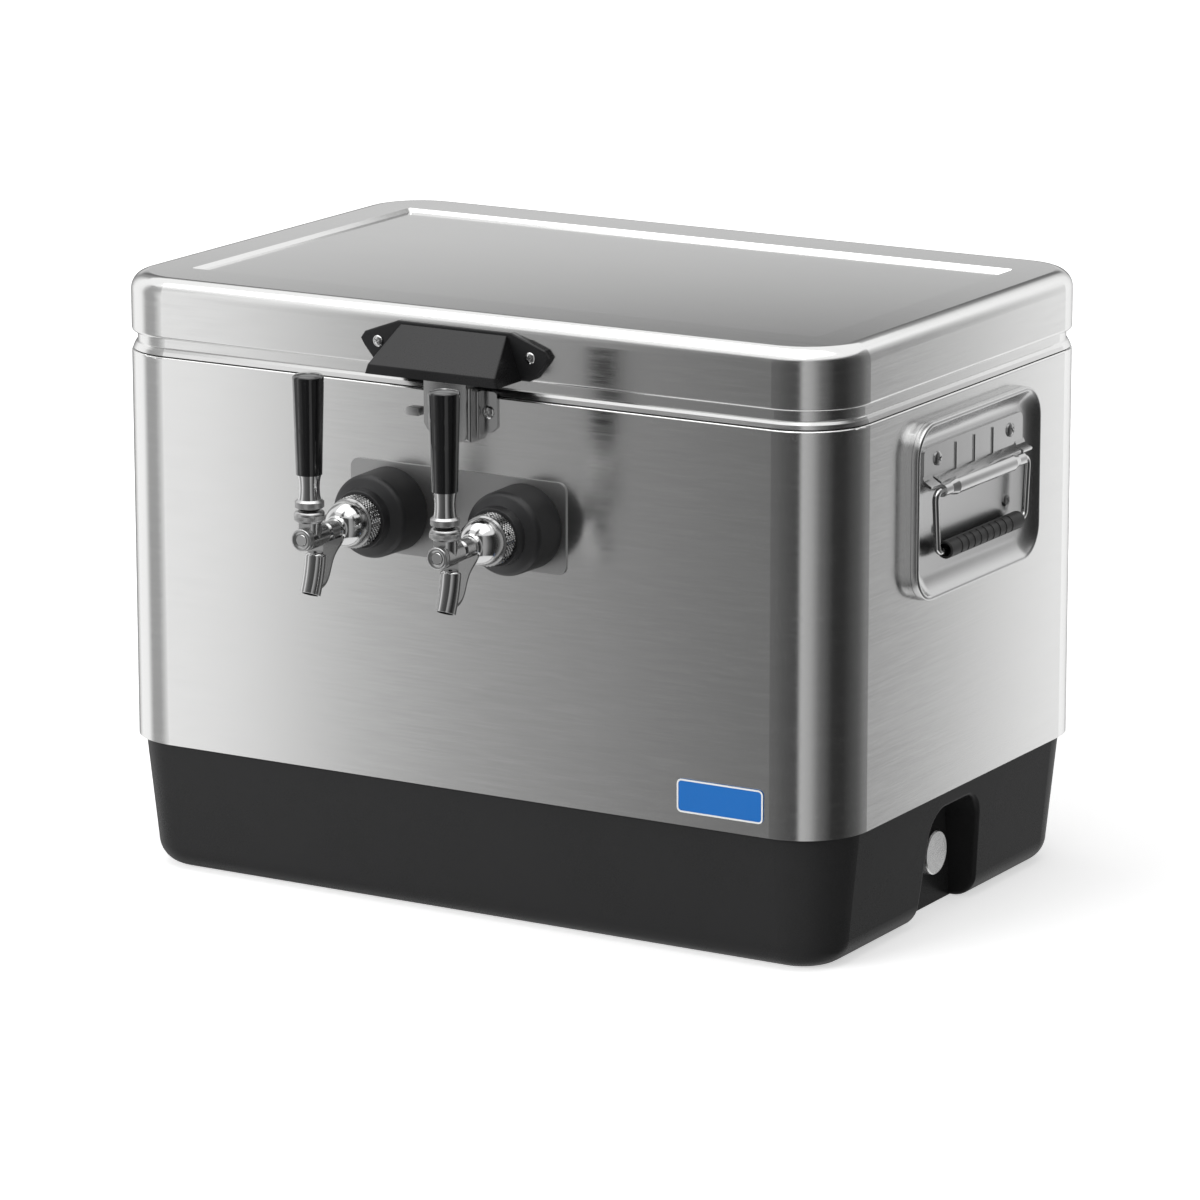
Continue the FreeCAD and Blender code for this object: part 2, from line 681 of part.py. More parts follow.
def make_lid_handle(screws):
    """Hooded finger pull: eared back plate, hollow wedge and two lugs for the hasp."""
    tip_x, tip_z = EAR_TIP
    half = [EAR_TOP, (tip_x - 4, tip_z + 5.5), EAR_TIP, (tip_x - 3, tip_z - 5), *EAR_FOOT]
    ear = [Vector(x, 0, z) for x, z in half] + [Vector(-x, 0, z) for x, z in reversed(half)]
    back = prism(ear, Vector(0, FRONT, 0), Vector(0, -HOOD_BACK, 0))
    back = fillet_where(back, 1.6, lambda c: abs(c.y - FRONT + HOOD_BACK) < 0.1)
    wedge = fillet_where(hood_wedge(0), 1.5, lambda c: c.y < FRONT - HOOD_BACK - 2 and
                         c.z > HOOD_BOTTOM_Z + 0.1)
    hood = back.fuse(wedge).cut(hood_wedge(HOOD_WALL))
    for side in (-1, 1):
        x = sorted((side * LUG_X[0], side * LUG_X[1]))
        y = (FRONT - HASP_PIVOT_OUT - LUG_REACH, FRONT - HOOD_BACK + 1)
        lug = block(x, y, (HOOD_BOTTOM_Z, LUG_TOP_Z))
        hood = hood.fuse(lug.common(hood_wedge(0)))
    return hood.cut(hasp_pin()).cut(screws).removeSplitter()


def hasp_pin():
    """Pin that hangs the hasp between two lugs inside the lid handle."""
    y = FRONT - HASP_PIVOT_OUT
    return rod(Vector(-LUG_X[1], y, HASP_PIVOT_Z), Vector(LUG_X[1], y, HASP_PIVOT_Z), HASP_PIN_R)


def make_hasp():
    """Stamped hasp: fork-shaped plate with a round eye that is open at its foot."""
    y_mid = FRONT - HASP_PIVOT_OUT
    y = (y_mid - HASP_THICK / 2, y_mid + HASP_THICK / 2)
    plate = block((-HASP_HALF, HASP_HALF), y, (LATCH_Z - HASP_FOOT_R, HASP_PIVOT_Z))
    edge = block((-HASP_HALF, 0), y, (LATCH_Z - HASP_FOOT_R, LATCH_Z))
    round_foot = rod(Vector(0, y[0], LATCH_Z), Vector(0, y[1], LATCH_Z), HASP_FOOT_R)
    plate = plate.cut(edge.cut(round_foot))
    plate = fillet_where(plate, 6.0, lambda c: c.x > HASP_HALF - 0.1 and c.z < LATCH_Z - HASP_FOOT_R + 0.1)
    eye = rod(Vector(0, y[0] - 1, LATCH_Z), Vector(0, y[1] + 1, LATCH_Z), HASP_HOLE_R)
    slot_z = (LATCH_Z - HASP_FOOT_R - 1, LATCH_Z + CAM_HEAD_R + 1)
    slot = block((-HASP_NECK_HALF, HASP_NECK_HALF), (y[0] - 1, y[1] + 1), slot_z)
    half = LUG_X[0] - 0.5
    knuckle = rod(Vector(-half, y_mid, HASP_PIVOT_Z), Vector(half, y_mid, HASP_PIVOT_Z), HASP_KNUCKLE_R)
    bore = rod(Vector(-30, y_mid, HASP_PIVOT_Z), Vector(30, y_mid, HASP_PIVOT_Z), HASP_PIN_R + RUNNING_GAP)
    return plate.cut(eye).cut(slot).fuse(knuckle).cut(bore).removeSplitter()


def make_keeper(screw):
    """Die-cast latch keeper: hollow raised box with a stepped, screwed ear on its right."""
    z = (KEEPER_BOTTOM_Z, KEEPER_TOP_Z)
    front = FRONT - KEEPER_OUT
    box = block((-KEEPER_HALF, KEEPER_HALF), (front, FRONT), z)
    box = fillet_where(box, 3.0, lambda c: abs(c.y - front) < 0.1 and c.z < KEEPER_TOP_Z - 1)
    inner_x = KEEPER_HALF - KEEPER_WALL
    low, high = EAR_PLATE_Z
    corner_z, side_z = EAR_PLATE_RISE
    ear_points = [Vector(inner_x, 0, high), Vector(EAR_PLATE_X, 0, high), Vector(EAR_PLATE_X, 0, side_z),
                  Vector(EAR_PLATE_X - 5, 0, corner_z), Vector(inner_x, 0, low)]
    ear = prism(ear_points, Vector(0, FRONT, 0), Vector(0, -KEEPER_WALL, 0))
    ear = fillet_where(ear, 3.0, lambda c: c.x > EAR_PLATE_X - 0.1 and c.z > high - 0.1)
    step_x, step_out = KEEPER_STEP
    step = block((inner_x, KEEPER_HALF + step_x), (FRONT - step_out, FRONT), (low, high))
    step = fillet_where(step, 1.5, lambda c: c.x > KEEPER_HALF + step_x - 0.1 and
                        c.y < FRONT - step_out + 0.1)
    hollow = block((-inner_x, inner_x), (front + KEEPER_WALL, FRONT + 1),
                   (z[0] + KEEPER_WALL, z[1] - KEEPER_WALL))
    pivot = rod(Vector(0, front - 1, LATCH_Z), Vector(0, FRONT, LATCH_Z), SPINDLE_R + RUNNING_GAP)
    boss = rod(Vector(0, front, LATCH_Z), Vector(0, FRONT - 1.5, LATCH_Z), SPINDLE_R + 3.0)
    return box.fuse(ear).fuse(step).cut(hollow).fuse(boss).cut(pivot).cut(screw).removeSplitter()


def cam_disc(u_low, u_high, radius, flat_half):
    """Disc with two flats, narrow across X in the resting position."""
    disc = rod(at_wall(u_low, 0, LATCH_Z), at_wall(u_high, 0, LATCH_Z), radius)
    keep = block((-flat_half, flat_half), (FRONT - u_high - 1, FRONT - u_low + 1),
                 (LATCH_Z - 40, LATCH_Z + 40))
    return disc.common(keep)


def make_latch_lever():
    """Turn lever: spindle, arm behind the hasp, flatted cam in its eye and a head in front of it."""
    arm_u = (KEEPER_OUT + 0.5, HASP_PIVOT_OUT - HASP_THICK / 2 - 0.8)
    z = (LATCH_Z - LEVER_HALF, LATCH_Z + LEVER_HALF)
    spindle = rod(at_wall(2.0, 0, LATCH_Z), at_wall(KEEPER_OUT + 1, 0, LATCH_Z), SPINDLE_R)
    cam = cam_disc(arm_u[0], LEVER_FRONT - 1.8, CAM_R, CAM_FLAT_HALF)
    head = cam_disc(LEVER_FRONT - 2.6, LEVER_FRONT - 0.2, CAM_HEAD_R, CAM_FLAT_HALF)
    arm = block((-LEVER_TIP + 3, 0), (FRONT - arm_u[1], FRONT - arm_u[0]), z)
    grip = block((-LEVER_TIP, -LEVER_TIP + LEVER_GRIP), (FRONT - LEVER_FRONT, FRONT - arm_u[0]), z)
    grip = fillet_where(grip, LEVER_HALF - 0.4, lambda c: c.x < -LEVER_TIP + 0.1 and
                        abs(abs(c.z - LATCH_Z) - LEVER_HALF) < 0.1)
    return spindle.fuse(cam).fuse(head).fuse(arm).fuse(grip).removeSplitter()


# --- end handles ---------------------------------------------------------------------------------
def pan_outline(width, height, radius, out):
    """Rounded rectangle in the plane at distance out beyond the right end."""
    wire = rounded_outline(height, width, radius)
    wire.rotate(Vector(0, 0, 0), Y, -90)
    wire.translate(at_end(out, 0, PAN_Z))
    return wire


def pan_loft(low, high):
    """Straight loft between two (width, height, radius, out) outlines."""
    return Part.makeLoft([pan_outline(*low), pan_outline(*high)], True, True)


def make_pan(bolts):
    """Pressed surround of the end handle: rounded rim that slopes in to a sunken floor."""
    w, h, r = PAN_SIZE
    crest_w = w - 2 * PAN_DRAFT
    crest_h = h - 2 * PAN_DRAFT
    floor_w, floor_h, floor_r = PAN_FLOOR_SIZE
    slip = PAN_SHEET * 0.8
    outer = pan_loft((w, h, r, 0), (crest_w, crest_h, r - PAN_DRAFT, PAN_CREST))
    mouth = (crest_w - 2 * PAN_RIM, crest_h - 2 * PAN_RIM, r - PAN_DRAFT - PAN_RIM, PAN_CREST + 0.1)
    shell = outer.cut(pan_loft((floor_w, floor_h, floor_r, PAN_FLOOR), mouth))
    shell = fillet_where(shell, PAN_RIM * 0.45, lambda c: c.x > END + PAN_CREST - 0.05)
    under_rim = pan_loft((w - 2 * PAN_SHEET, h - 2 * PAN_SHEET, r - PAN_SHEET, -1),
                         (crest_w - 2 * PAN_SHEET, crest_h - 2 * PAN_SHEET, r - PAN_DRAFT - PAN_SHEET,
                          PAN_CREST - PAN_SHEET))
    dish_back = pan_loft((floor_w + 2 * slip, floor_h + 2 * slip, floor_r + slip, PAN_FLOOR - PAN_SHEET),
                         (mouth[0] + 2 * slip, mouth[1] + 2 * slip, mouth[2] + slip, PAN_CREST + 0.2))
    return shell.cut(under_rim.cut(dish_back)).cut(bolts).removeSplitter()


def bail_drill(radius):
    return rod(at_end(BAIL_OUT, -120, BAIL_Z), at_end(BAIL_OUT, 120, BAIL_Z), radius)


def sheet_section(points, y):
    """Bent sheet between two places along Y, from (out, z) points of its section."""
    return prism([at_end(out, 0, z) for out, z in points], Vector(0, y[0], 0), Vector(0, y[1] - y[0], 0))


def make_handle_plate(bolts):
    """Folded handle plate: three pressed beads, curled stops and a rolled barrel for the bail."""
    face = PLATE_FACE
    back = PAN_FLOOR
    fold = PLATE_FOLD_Z
    crown = BAIL_Z + BARREL_R
    flat = [(back, PLATE_TOP_Z), (face, PLATE_TOP_Z), (face, fold + 1), (BAIL_OUT - 0.5, crown),
            (BAIL_OUT - 0.5, crown - PLATE_SHEET), (back, fold - 1)]
    plate = sheet_section(flat, (-KNUCKLE_END_HALF, KNUCKLE_END_HALF))
    upper = sheet_section([(back, PLATE_TOP_Z), (face, PLATE_TOP_Z), (face, fold), (back, fold)],
                          (-PLATE_HALF, PLATE_HALF))
    plate = plate.fuse(upper)
    curl = [(back, fold + 3), (face, fold + 3), (face + 1.2, fold), (STOP_OUT + 1, STOP_Z + 1.6),
            (STOP_OUT + 0.4, STOP_Z), (STOP_OUT - 1, STOP_Z + 0.2), (face - 0.2, fold - 1.8),
            (back, fold - 1)]
    for side in (-1, 1):
        plate = plate.fuse(sheet_section(curl, sorted((side * EAR_SLOT, side * STOP_HALF))))
    plate = fillet_where(plate.removeSplitter(), 6.0,
                         lambda c: c.z > PLATE_TOP_Z - 0.1 and abs(abs(c.y) - PLATE_HALF) < 0.1)
    end_r = KNUCKLE_END_R
    barrel = turned([(0, -KNUCKLE_END_HALF), (end_r, -KNUCKLE_END_HALF), (end_r, -BARREL_CONE),
                     (BARREL_R, -BARREL_HALF), (BARREL_R, BARREL_HALF), (end_r, BARREL_CONE),
                     (end_r, KNUCKLE_END_HALF), (0, KNUCKLE_END_HALF)], at_end(BAIL_OUT, 0, BAIL_Z), Y)
    plate = plate.fuse(barrel)
    behind = block((END, END + back + 0.2), (-100, 100), (300, 400))
    for y in (-BEAD_Y, 0, BEAD_Y):
        bead = rod(at_end(face - 0.6, y, BEAD_Z[0]), at_end(face - 0.6, y, BEAD_Z[1]), BEAD_R)
        plate = plate.fuse(bead.cut(behind))
    return plate.cut(bail_drill(BAIL_ROD_R + RUNNING_GAP)).cut(bolts).removeSplitter()


def make_bail():
    """Bent wire of the end handle, its two ends butting inside the barrel."""
    points = [at_end(BAIL_OUT, 0.3, BAIL_Z), at_end(BAIL_OUT, BAIL_TOP_HALF, BAIL_Z),
              at_end(BAIL_OUT, BAIL_FOOT_HALF, GRIP_Z), at_end(BAIL_OUT, -BAIL_FOOT_HALF, GRIP_Z),
              at_end(BAIL_OUT, -BAIL_TOP_HALF, BAIL_Z), at_end(BAIL_OUT, -0.3, BAIL_Z)]
    return bent_rod(points, BAIL_BEND, BAIL_ROD_R)


def make_grip():
    start = at_end(BAIL_OUT, -GRIP_HALF, GRIP_Z)
    end = at_end(BAIL_OUT, GRIP_HALF, GRIP_Z)
    sleeve = fillet_where(rod(start, end, GRIP_R), 1.8, lambda c: True)
    return sleeve.cut(rod(start - Y, end + Y, BAIL_ROD_R))


# --- faucets -------------------------------------------------------------------------------------
OUTWARD = Vector(0, -1, 0)


def make_shank_cover():
    """Deep cup over the shank: rounded front that draws in to a neck round the coupling nut."""
    cup = turned([(0, TAP_PLATE_SHEET), (CUP_R, TAP_PLATE_SHEET), (CUP_R - 0.5, CUP_SIDE_U),
                  (CUP_NECK_R + 1.0, CUP_FRONT_U), (CUP_NECK_R, CUP_U), (0, CUP_U)], at_wall(0), OUTWARD)
    cup = fillet_where(cup, 7.0, lambda c: abs(c.y - FRONT + CUP_SIDE_U) < 0.1)
    cup = fillet_where(cup, 1.0, lambda c: abs(c.y - FRONT + CUP_U) < 0.1)
    inside = turned([(0, 0), (CUP_R - CUP_WALL, 0), (CUP_R - CUP_WALL - 0.5, CUP_SIDE_U - 4),
                     (NUT_R + 2, CUP_FRONT_U - CUP_WALL), (0, CUP_FRONT_U - CUP_WALL)], at_wall(0), OUTWARD)
    mouth = rod(at_wall(0), at_wall(CUP_U + 5), NUT_R + 0.7)
    return cup.cut(inside).cut(mouth)


def make_shank():
    """Threaded shank with a flange against the wall plate and a wider head inside the coupling nut."""
    outer_u = NUT_U[1] - NUT_LIP
    flange_r, flange_u = SHANK_FLANGE
    head_r, head_u = SHANK_HEAD
    profile = [(SHANK_BORE_R, SHANK_IN_U), (SHANK_R, SHANK_IN_U), (SHANK_R, TAP_PLATE_SHEET),
               (flange_r, TAP_PLATE_SHEET), (flange_r, flange_u), (SHANK_R, flange_u), (SHANK_R, head_u),
               (head_r, head_u), (head_r, outer_u), (SHANK_BORE_R, outer_u)]
    return turned(profile, at_wall(0), OUTWARD)


def make_coupling_nut():
    """Knurled coupling nut with spanner holes."""
    low, high = NUT_U
    seat = high - NUT_LIP
    head_r = SHANK_HEAD[0]
    nut = turned([(head_r, low), (NUT_R - 1, low), (NUT_R, low + 1), (NUT_R, high - 1.2),
                  (NUT_R - 1.2, high), (FAUCET_TAIL_R, high), (FAUCET_TAIL_R, seat), (head_r, seat)],
                 at_wall(0), OUTWARD)
    for index in range(NUT_HOLES):
        angle = math.tau * index / NUT_HOLES + math.radians(20)
        way = Vector(math.cos(angle), 0, math.sin(angle))
        centre = at_wall(high - 6.0)
        nut = nut.cut(rod(centre + way * (NUT_R - 3), centre + way * (NUT_R + 2), NUT_HOLE_R))
    return nut


def spout_pipe(radius, start=0.0):
    """Pipe along the spout's arc, from a share of its length down to the mouth."""
    whole = Part.Arc(*[at_wall(u, 0, z) for u, z in SPOUT_LINE])
    first = whole.FirstParameter + start * (whole.LastParameter - whole.FirstParameter)
    edge = whole.toShape(first, whole.LastParameter)
    ring = Part.Wire([Part.makeCircle(radius, whole.value(first), whole.tangent(first)[0])])
    return Part.Wire([edge]).makePipeShell([ring], True, True)


def make_spout_web():
    """Cast web that carries the spout: it tapers from the underside of the barrel to the mouth."""
    curve = Part.BSplineCurve()
    curve.interpolate([at_wall(u, 0, z) for u, z in WEB_BACK])
    corners = [at_wall(u, 0, z) for u, z in (WEB_BACK[-1], *WEB_FRONT, WEB_BACK[0])]
    edges = [curve.toShape()]
    edges += [Part.makeLine(a, b) for a, b in zip(corners, corners[1:])]
    face = Part.Face(Part.Wire(edges))
    face.translate(Vector(-WEB_HALF, 0, 0))
    web = face.extrude(Vector(2 * WEB_HALF, 0, 0))
    long_edges = [e for e in web.Edges if e.Curve.TypeId == "Part::GeomBSplineCurve"]
    return web.makeFillet(WEB_ROUND, long_edges)


def make_faucet_body():
    """Cast faucet body: bell, barrel, valve chamber, neck for the bonnet and webbed spout, all bored."""
    low = NUT_U[1]
    front = GUIDE_U[0]
    tail = low - NUT_LIP
    dome = low + 2.0
    slant = BELL_R * math.sqrt(0.5)
    bell = [(0, tail), (FAUCET_TAIL_R, tail), (FAUCET_TAIL_R, low), (BELL_R - 0.8, low), (BELL_R, low + 0.8),
            (BELL_R, dome), ((slant, dome + slant), (9.6, dome + 15.2)),
            ((8.3, dome + 16.6), (BARREL_TUBE_R, dome + 19.5)), (BARREL_TUBE_R, CHAMBER_U - 6),
            (CHAMBER_R, CHAMBER_U), (CHAMBER_R, front), (0, front)]
    body = turned(bell, at_wall(0), OUTWARD)
    neck = rod(at_wall(LEVER_U), at_wall(LEVER_U, 0, BONNET_Z[0]), CHAMBER_R)
    neck = neck.common(block((-50, 50), (FRONT - front, FRONT), (TAP_Z, BONNET_Z[0])))
    spout = spout_pipe(SPOUT_R)
    spout = fillet_where(spout, SPOUT_SHOULDER_R, lambda c: c.z > SPOUT_LINE[0][1] - 1.5)
    body = body.fuse(neck).fuse(make_spout_web()).fuse(spout)
    start, end = [at_wall(u, 0, z) for u, z in PASSAGE]
    bores = [rod(at_wall(tail), at_wall(SEAT_U), INLET_CHAMBER_R), rod(at_wall(SEAT_U), at_wall(98), SEAT_R),
             rod(at_wall(SEAT_U + 4), at_wall(front), BORE_R), spout_pipe(SPOUT_BORE_R, 0.15),
             rod(start, end, PASSAGE_R), rod(at_wall(LEVER_U), at_wall(LEVER_U, 0, BONNET_Z[0]), THROAT_R)]
    for bore in bores:
        body = body.cut(bore)
    return body


def make_shaft_guide():
    """Round front cap of the faucet, with the end of the shaft showing in its middle."""
    low, high = GUIDE_U
    bore = SHAFT_HEAD_R + RUNNING_GAP
    return turned([(bore, low - GUIDE_PLUG), (BORE_R, low - GUIDE_PLUG), (BORE_R, low), (GUIDE_R - 0.5, low),
                   (GUIDE_R, low + 0.5), (GUIDE_R, high - 1.6),
                   ((GUIDE_R - 0.5, high - 0.4), (GUIDE_R - 1.6, high)), (GUIDE_R - 2.6, high - 0.3),
                   (bore, high - 1.2)], at_wall(0), OUTWARD)


def make_shaft():
    """Sliding shaft: slotted head in the guide, stem through the seat and washer behind it."""
    front = GUIDE_U[1] - 0.6
    washer_r = INLET_CHAMBER_R - 1.6
    head_r = SHAFT_HEAD_R
    shaft = turned([(0, SEAT_U - 5.5), (SHAFT_R, SEAT_U - 5.5), (SHAFT_R, SEAT_U - 3.5),
                    (washer_r, SEAT_U - 3.5), (washer_r, SEAT_U - 0.1), (SHAFT_R, SEAT_U - 0.1),
                    (SHAFT_R, SHAFT_HEAD_U), (head_r, SHAFT_HEAD_U + 2), (head_r, front - 0.4),
                    (head_r - 0.4, front), (0, front)], at_wall(0), OUTWARD)
    slot_u = (LEVER_U - LEVER_TIP_R - 0.3, LEVER_U + LEVER_TIP_R + 1.9)
    slot = block((-LEVER_TIP_R - 0.3, LEVER_TIP_R + 0.3), (FRONT - slot_u[1], FRONT - slot_u[0]),
                 (LEVER_TIP_Z - 0.6, TAP_Z + 10))
    return shaft.cut(slot)


def make_bonnet():
    """Bonnet screwed on the neck: straight knurled skirt, rounded shoulder and a wide mouth for the lever."""
    low, high = BONNET_Z
    return turned([(BONNET_MOUTH_R, low), (BONNET_R - 2.2, low), (BONNET_R, low + 1.8),
                   (BONNET_R, high - 3.8), ((BONNET_R - 0.7, high - 1.7), (BONNET_R - 3.0, high - 0.2)),
                   (BONNET_MOUTH_R, high)], at_wall(LEVER_U, 0, 0), Z)


def make_lever():
    """Lever: ball in the bonnet, tip in the shaft's slot, collar with a dished foot, and a stud."""
    axis = at_wall(LEVER_U, 0, 0)
    low, high = COLLAR_Z
    ball = Part.makeSphere(LEVER_BALL_R, axis + Z * LEVER_PIVOT_Z)
    tip = rod(axis + Z * LEVER_TIP_Z, axis + Z * LEVER_PIVOT_Z, LEVER_TIP_R)
    stem = turned([(0, LEVER_PIVOT_Z), (LEVER_NECK_R, LEVER_PIVOT_Z), (LEVER_NECK_R, low + 1.0),
                   (6.0, low + 0.9), (9.0, low + 0.5), (COLLAR_R - 0.5, low), (COLLAR_R, low + 0.5),
                   (COLLAR_R, high - 1.6), (COLLAR_R - 1.8, high), (STUD_R, high),
                   (STUD_R, FERRULE_TOP_Z), (0, FERRULE_TOP_Z)], axis, Z)
    return ball.fuse(tip).fuse(stem).removeSplitter()


def make_ferrule():
    """Waisted chrome ferrule between the collar and the handle."""
    low = COLLAR_Z[1]
    return turned([(STUD_R, low), (8.7, low), (FERRULE_WAIST, (9.2, FERRULE_TOP_Z)), (STUD_R, FERRULE_TOP_Z)],
                  at_wall(LEVER_U, 0, 0), Z)


def make_tap_handle():
    """Tapered ten-sided handle with a rounded crown."""
    def ring(radius, z):
        points = [at_wall(LEVER_U, 0, z) + Vector(radius * math.cos(a), radius * math.sin(a), 0)
                  for a in (math.tau * (i + 0.5) / HANDLE_SIDES for i in range(HANDLE_SIDES))]
        return Part.makePolygon(points + points[:1])
    top = HANDLE_TOP_Z
    crown = HANDLE_CROWN_R
    sided = Part.makeLoft([ring(HANDLE_FOOT_R + 0.5, FERRULE_TOP_Z), ring(crown + 0.6, top)], True, True)
    rounded = turned([(0, FERRULE_TOP_Z), (HANDLE_FOOT_R, FERRULE_TOP_Z), (crown, top - 4.2),
                      ((crown - 0.9, top - 2.0), (crown - 3.2, top - 1.0)),
                      ((crown * 0.4, top - 0.2), (0, top))], at_wall(LEVER_U, 0, 0), Z)
    return sided.common(rounded)


# --- drink circuit -------------------------------------------------------------------------------
def to_back(shape):
    """A shape made at the front wall, turned half round to the back wall."""
    turned_round = shape.copy()
    turned_round.rotate(Vector(0, 0, 0), Z, 180)
    return turned_round


def both_taps(shape):
    """Copies of a shape at the two faucet positions."""
    copies = []
    for side in (-1, 1):
        copy = shape.copy()
        copy.translate(Vector(side * TAP_X, 0, 0))
        copies.append(copy)
    return copies


def make_inlet_shank():
    """Rear inlet: flanged shank with a threaded male end, modelled at the front wall."""
    flange_r = SHANK_FLANGE[0]
    return turned([(SHANK_BORE_R, SHANK_IN_U), (SHANK_R, SHANK_IN_U), (SHANK_R, 0), (flange_r, 0),
                   (flange_r, 5.0), (13.0, 5.0), (13.0, 8.0), (INLET_THREAD_R, 8.0),
                   (INLET_THREAD_R, INLET_OUT_U - 1.5), (INLET_THREAD_R - 1.5, INLET_OUT_U),
                   (SHANK_BORE_R, INLET_OUT_U)], at_wall(0), OUTWARD)


def make_locknut():
    nut = hexagon(34.0, at_wall(WALL_INNER_U - 3.0), Y, 9.0)
    return nut.cut(rod(at_wall(WALL_INNER_U), at_wall(WALL_INNER_U - 20), SHANK_R))


def make_washer():
    return tube(at_wall(WALL_INNER_U - 0.6), at_wall(WALL_INNER_U - 3.0), 19.0, SHANK_R)


def make_tail_nut():
    """Nut that holds the tailpiece against the inner end of a shank."""
    nut = hexagon(TAIL_NUT_FLATS, at_wall(SHANK_IN_U + 6), Y, 13.0)
    holes = [rod(at_wall(0), at_wall(SHANK_IN_U), SHANK_R),
             rod(at_wall(0), at_wall(SHANK_IN_U - 3), TAIL_FLANGE_R),
             rod(at_wall(0), at_wall(SHANK_IN_U - 20), SOCKET_R)]
    for hole in holes:
        nut = nut.cut(hole)
    return nut


def socket_profile(start, end, collar):
    """Half section of a tube socket: wide collar at its start, counterbored at its end."""
    way = 1 if end > start else -1
    seat = end - way * SOCKET_DEPTH
    return [(LINE_BORE_R, start), (TAIL_FLANGE_R, start), (TAIL_FLANGE_R, start + way * collar),
            (SOCKET_R, start + way * collar), (SOCKET_R, end), (LINE_R, end), (LINE_R, seat),
            (LINE_BORE_R, seat)]


def make_tailpiece():
    """Tailpiece of a shank: flange under the tail nut and a socket for the steel line."""
    return turned(socket_profile(SHANK_IN_U, LINE_END_U - SOCKET_DEPTH, 3.0), at_wall(0), OUTWARD)


def plate_top():
    return LINER_FLOOR + COLD_PLATE[2]


def make_stub():
    """Tube socket that stands on the cold plate."""
    return turned(socket_profile(0, STUB_HEIGHT, 5.0), Vector(0, -LINE_Y, plate_top()), Z)


def make_line():
    """Steel beverage line from a cold plate stub, straight up and bent over to a tailpiece."""
    foot = Vector(0, -LINE_Y, plate_top() + STUB_HEIGHT - SOCKET_DEPTH)
    path = [foot, Vector(0, -LINE_Y, TAP_Z), at_wall(LINE_END_U)]
    return bent_rod(path, LINE_BEND, LINE_R).cut(bent_rod(path, LINE_BEND, LINE_BORE_R))


def make_line_nuts():
    """Compression nuts at the two ends of a steel line."""
    top = Vector(0, -LINE_Y, plate_top() + STUB_HEIGHT)
    tail = at_wall(LINE_END_U - SOCKET_DEPTH)
    nuts = []
    for mouth, way in ((top, Z), (tail, Y)):
        nut = hexagon(LINE_NUT_FLATS, mouth - way * 4, way, LINE_NUT_LENGTH)
        nut = nut.cut(rod(mouth - way * 5, mouth, SOCKET_R)).cut(rod(mouth, mouth + way * 20, LINE_R))
        nuts.append(nut)
    return nuts


def make_cold_plate():
    """Cast cold plate: rounded slab with shallow drain grooves and pads under its four stubs."""
    length, width, _ = COLD_PLATE
    top = plate_top()
    outline = rounded_outline(length, width, 14)
    slab = loft([(outline, LINER_FLOOR), (outline, top)])
    slab = fillet_where(slab, 4.0, lambda c: c.z < LINER_FLOOR + 0.1 or c.z > top - 0.1)
    reach = length / 2 - 30
    for row in range(PLATE_GROOVES):
        y = (row - (PLATE_GROOVES - 1) / 2) * PLATE_GROOVE_PITCH
        slab = slab.cut(rod(Vector(-reach, y, top + 3.2), Vector(reach, y, top + 3.2), 4.5))
    for x in (-TAP_X, TAP_X):
        for y in (-LINE_Y, LINE_Y):
            slab = slab.fuse(rod(Vector(x, y, top - 6), Vector(x, y, top), 14.0))
    return slab.removeSplitter()


# --- drain ---------------------------------------------------------------------------------------
def make_drain_spout():
    """Threaded drain tube through the wall, with a slim lip inside the liner."""
    start, end = DRAIN_TUBE_X
    bore = DRAIN_TUBE_R - 4
    return turned([(bore, start), (DRAIN_TUBE_R, start), (DRAIN_TUBE_R, end), (bore, end)],
                  Vector(0, 0, DRAIN_Z), X)


def make_drain_locknut():
    nut = hexagon(31.0, Vector(RECESS_BACK_X, 0, DRAIN_Z), X, 4.0)
    return nut.cut(rod(Vector(280, 0, DRAIN_Z), Vector(300, 0, DRAIN_Z), DRAIN_TUBE_R))


def make_drain_gasket():
    x = DRAIN_CAP_X[0]
    return tube(Vector(x - 1.7, 0, DRAIN_Z), Vector(x - 0.2, 0, DRAIN_Z), 16.0, DRAIN_TUBE_R + 0.4)


def make_drain_cap():
    low, high = DRAIN_CAP_X
    return turned([(DRAIN_CAP_BORE_R, low), (DRAIN_CAP_R - 0.6, low), (DRAIN_CAP_R, low + 0.6),
                   (DRAIN_CAP_R, high - 1), (DRAIN_CAP_R - 1, high), (0, high), (0, high - 2.4),
                   (DRAIN_CAP_BORE_R, high - 2.4)], Vector(0, 0, DRAIN_Z), X)


def make_badge():
    face = Part.Face(rounded_outline(BADGE_SIZE[0], BADGE_SIZE[1], 4.0))
    plate = face.extrude(Vector(0, 0, BADGE_SHEET))
    plate.rotate(Vector(0, 0, 0), X, 90)
    plate.translate(Vector(BADGE_X, FRONT, BADGE_Z))
    return plate


def make_tap_plate():
    face = Part.Face(rounded_outline(*TAP_PLATE))
    plate = face.extrude(Vector(0, 0, TAP_PLATE_SHEET))
    plate.rotate(Vector(0, 0, 0), X, 90)
    plate.translate(Vector(0, FRONT, TAP_PLATE_Z))
    return plate.cut(shank_drills())


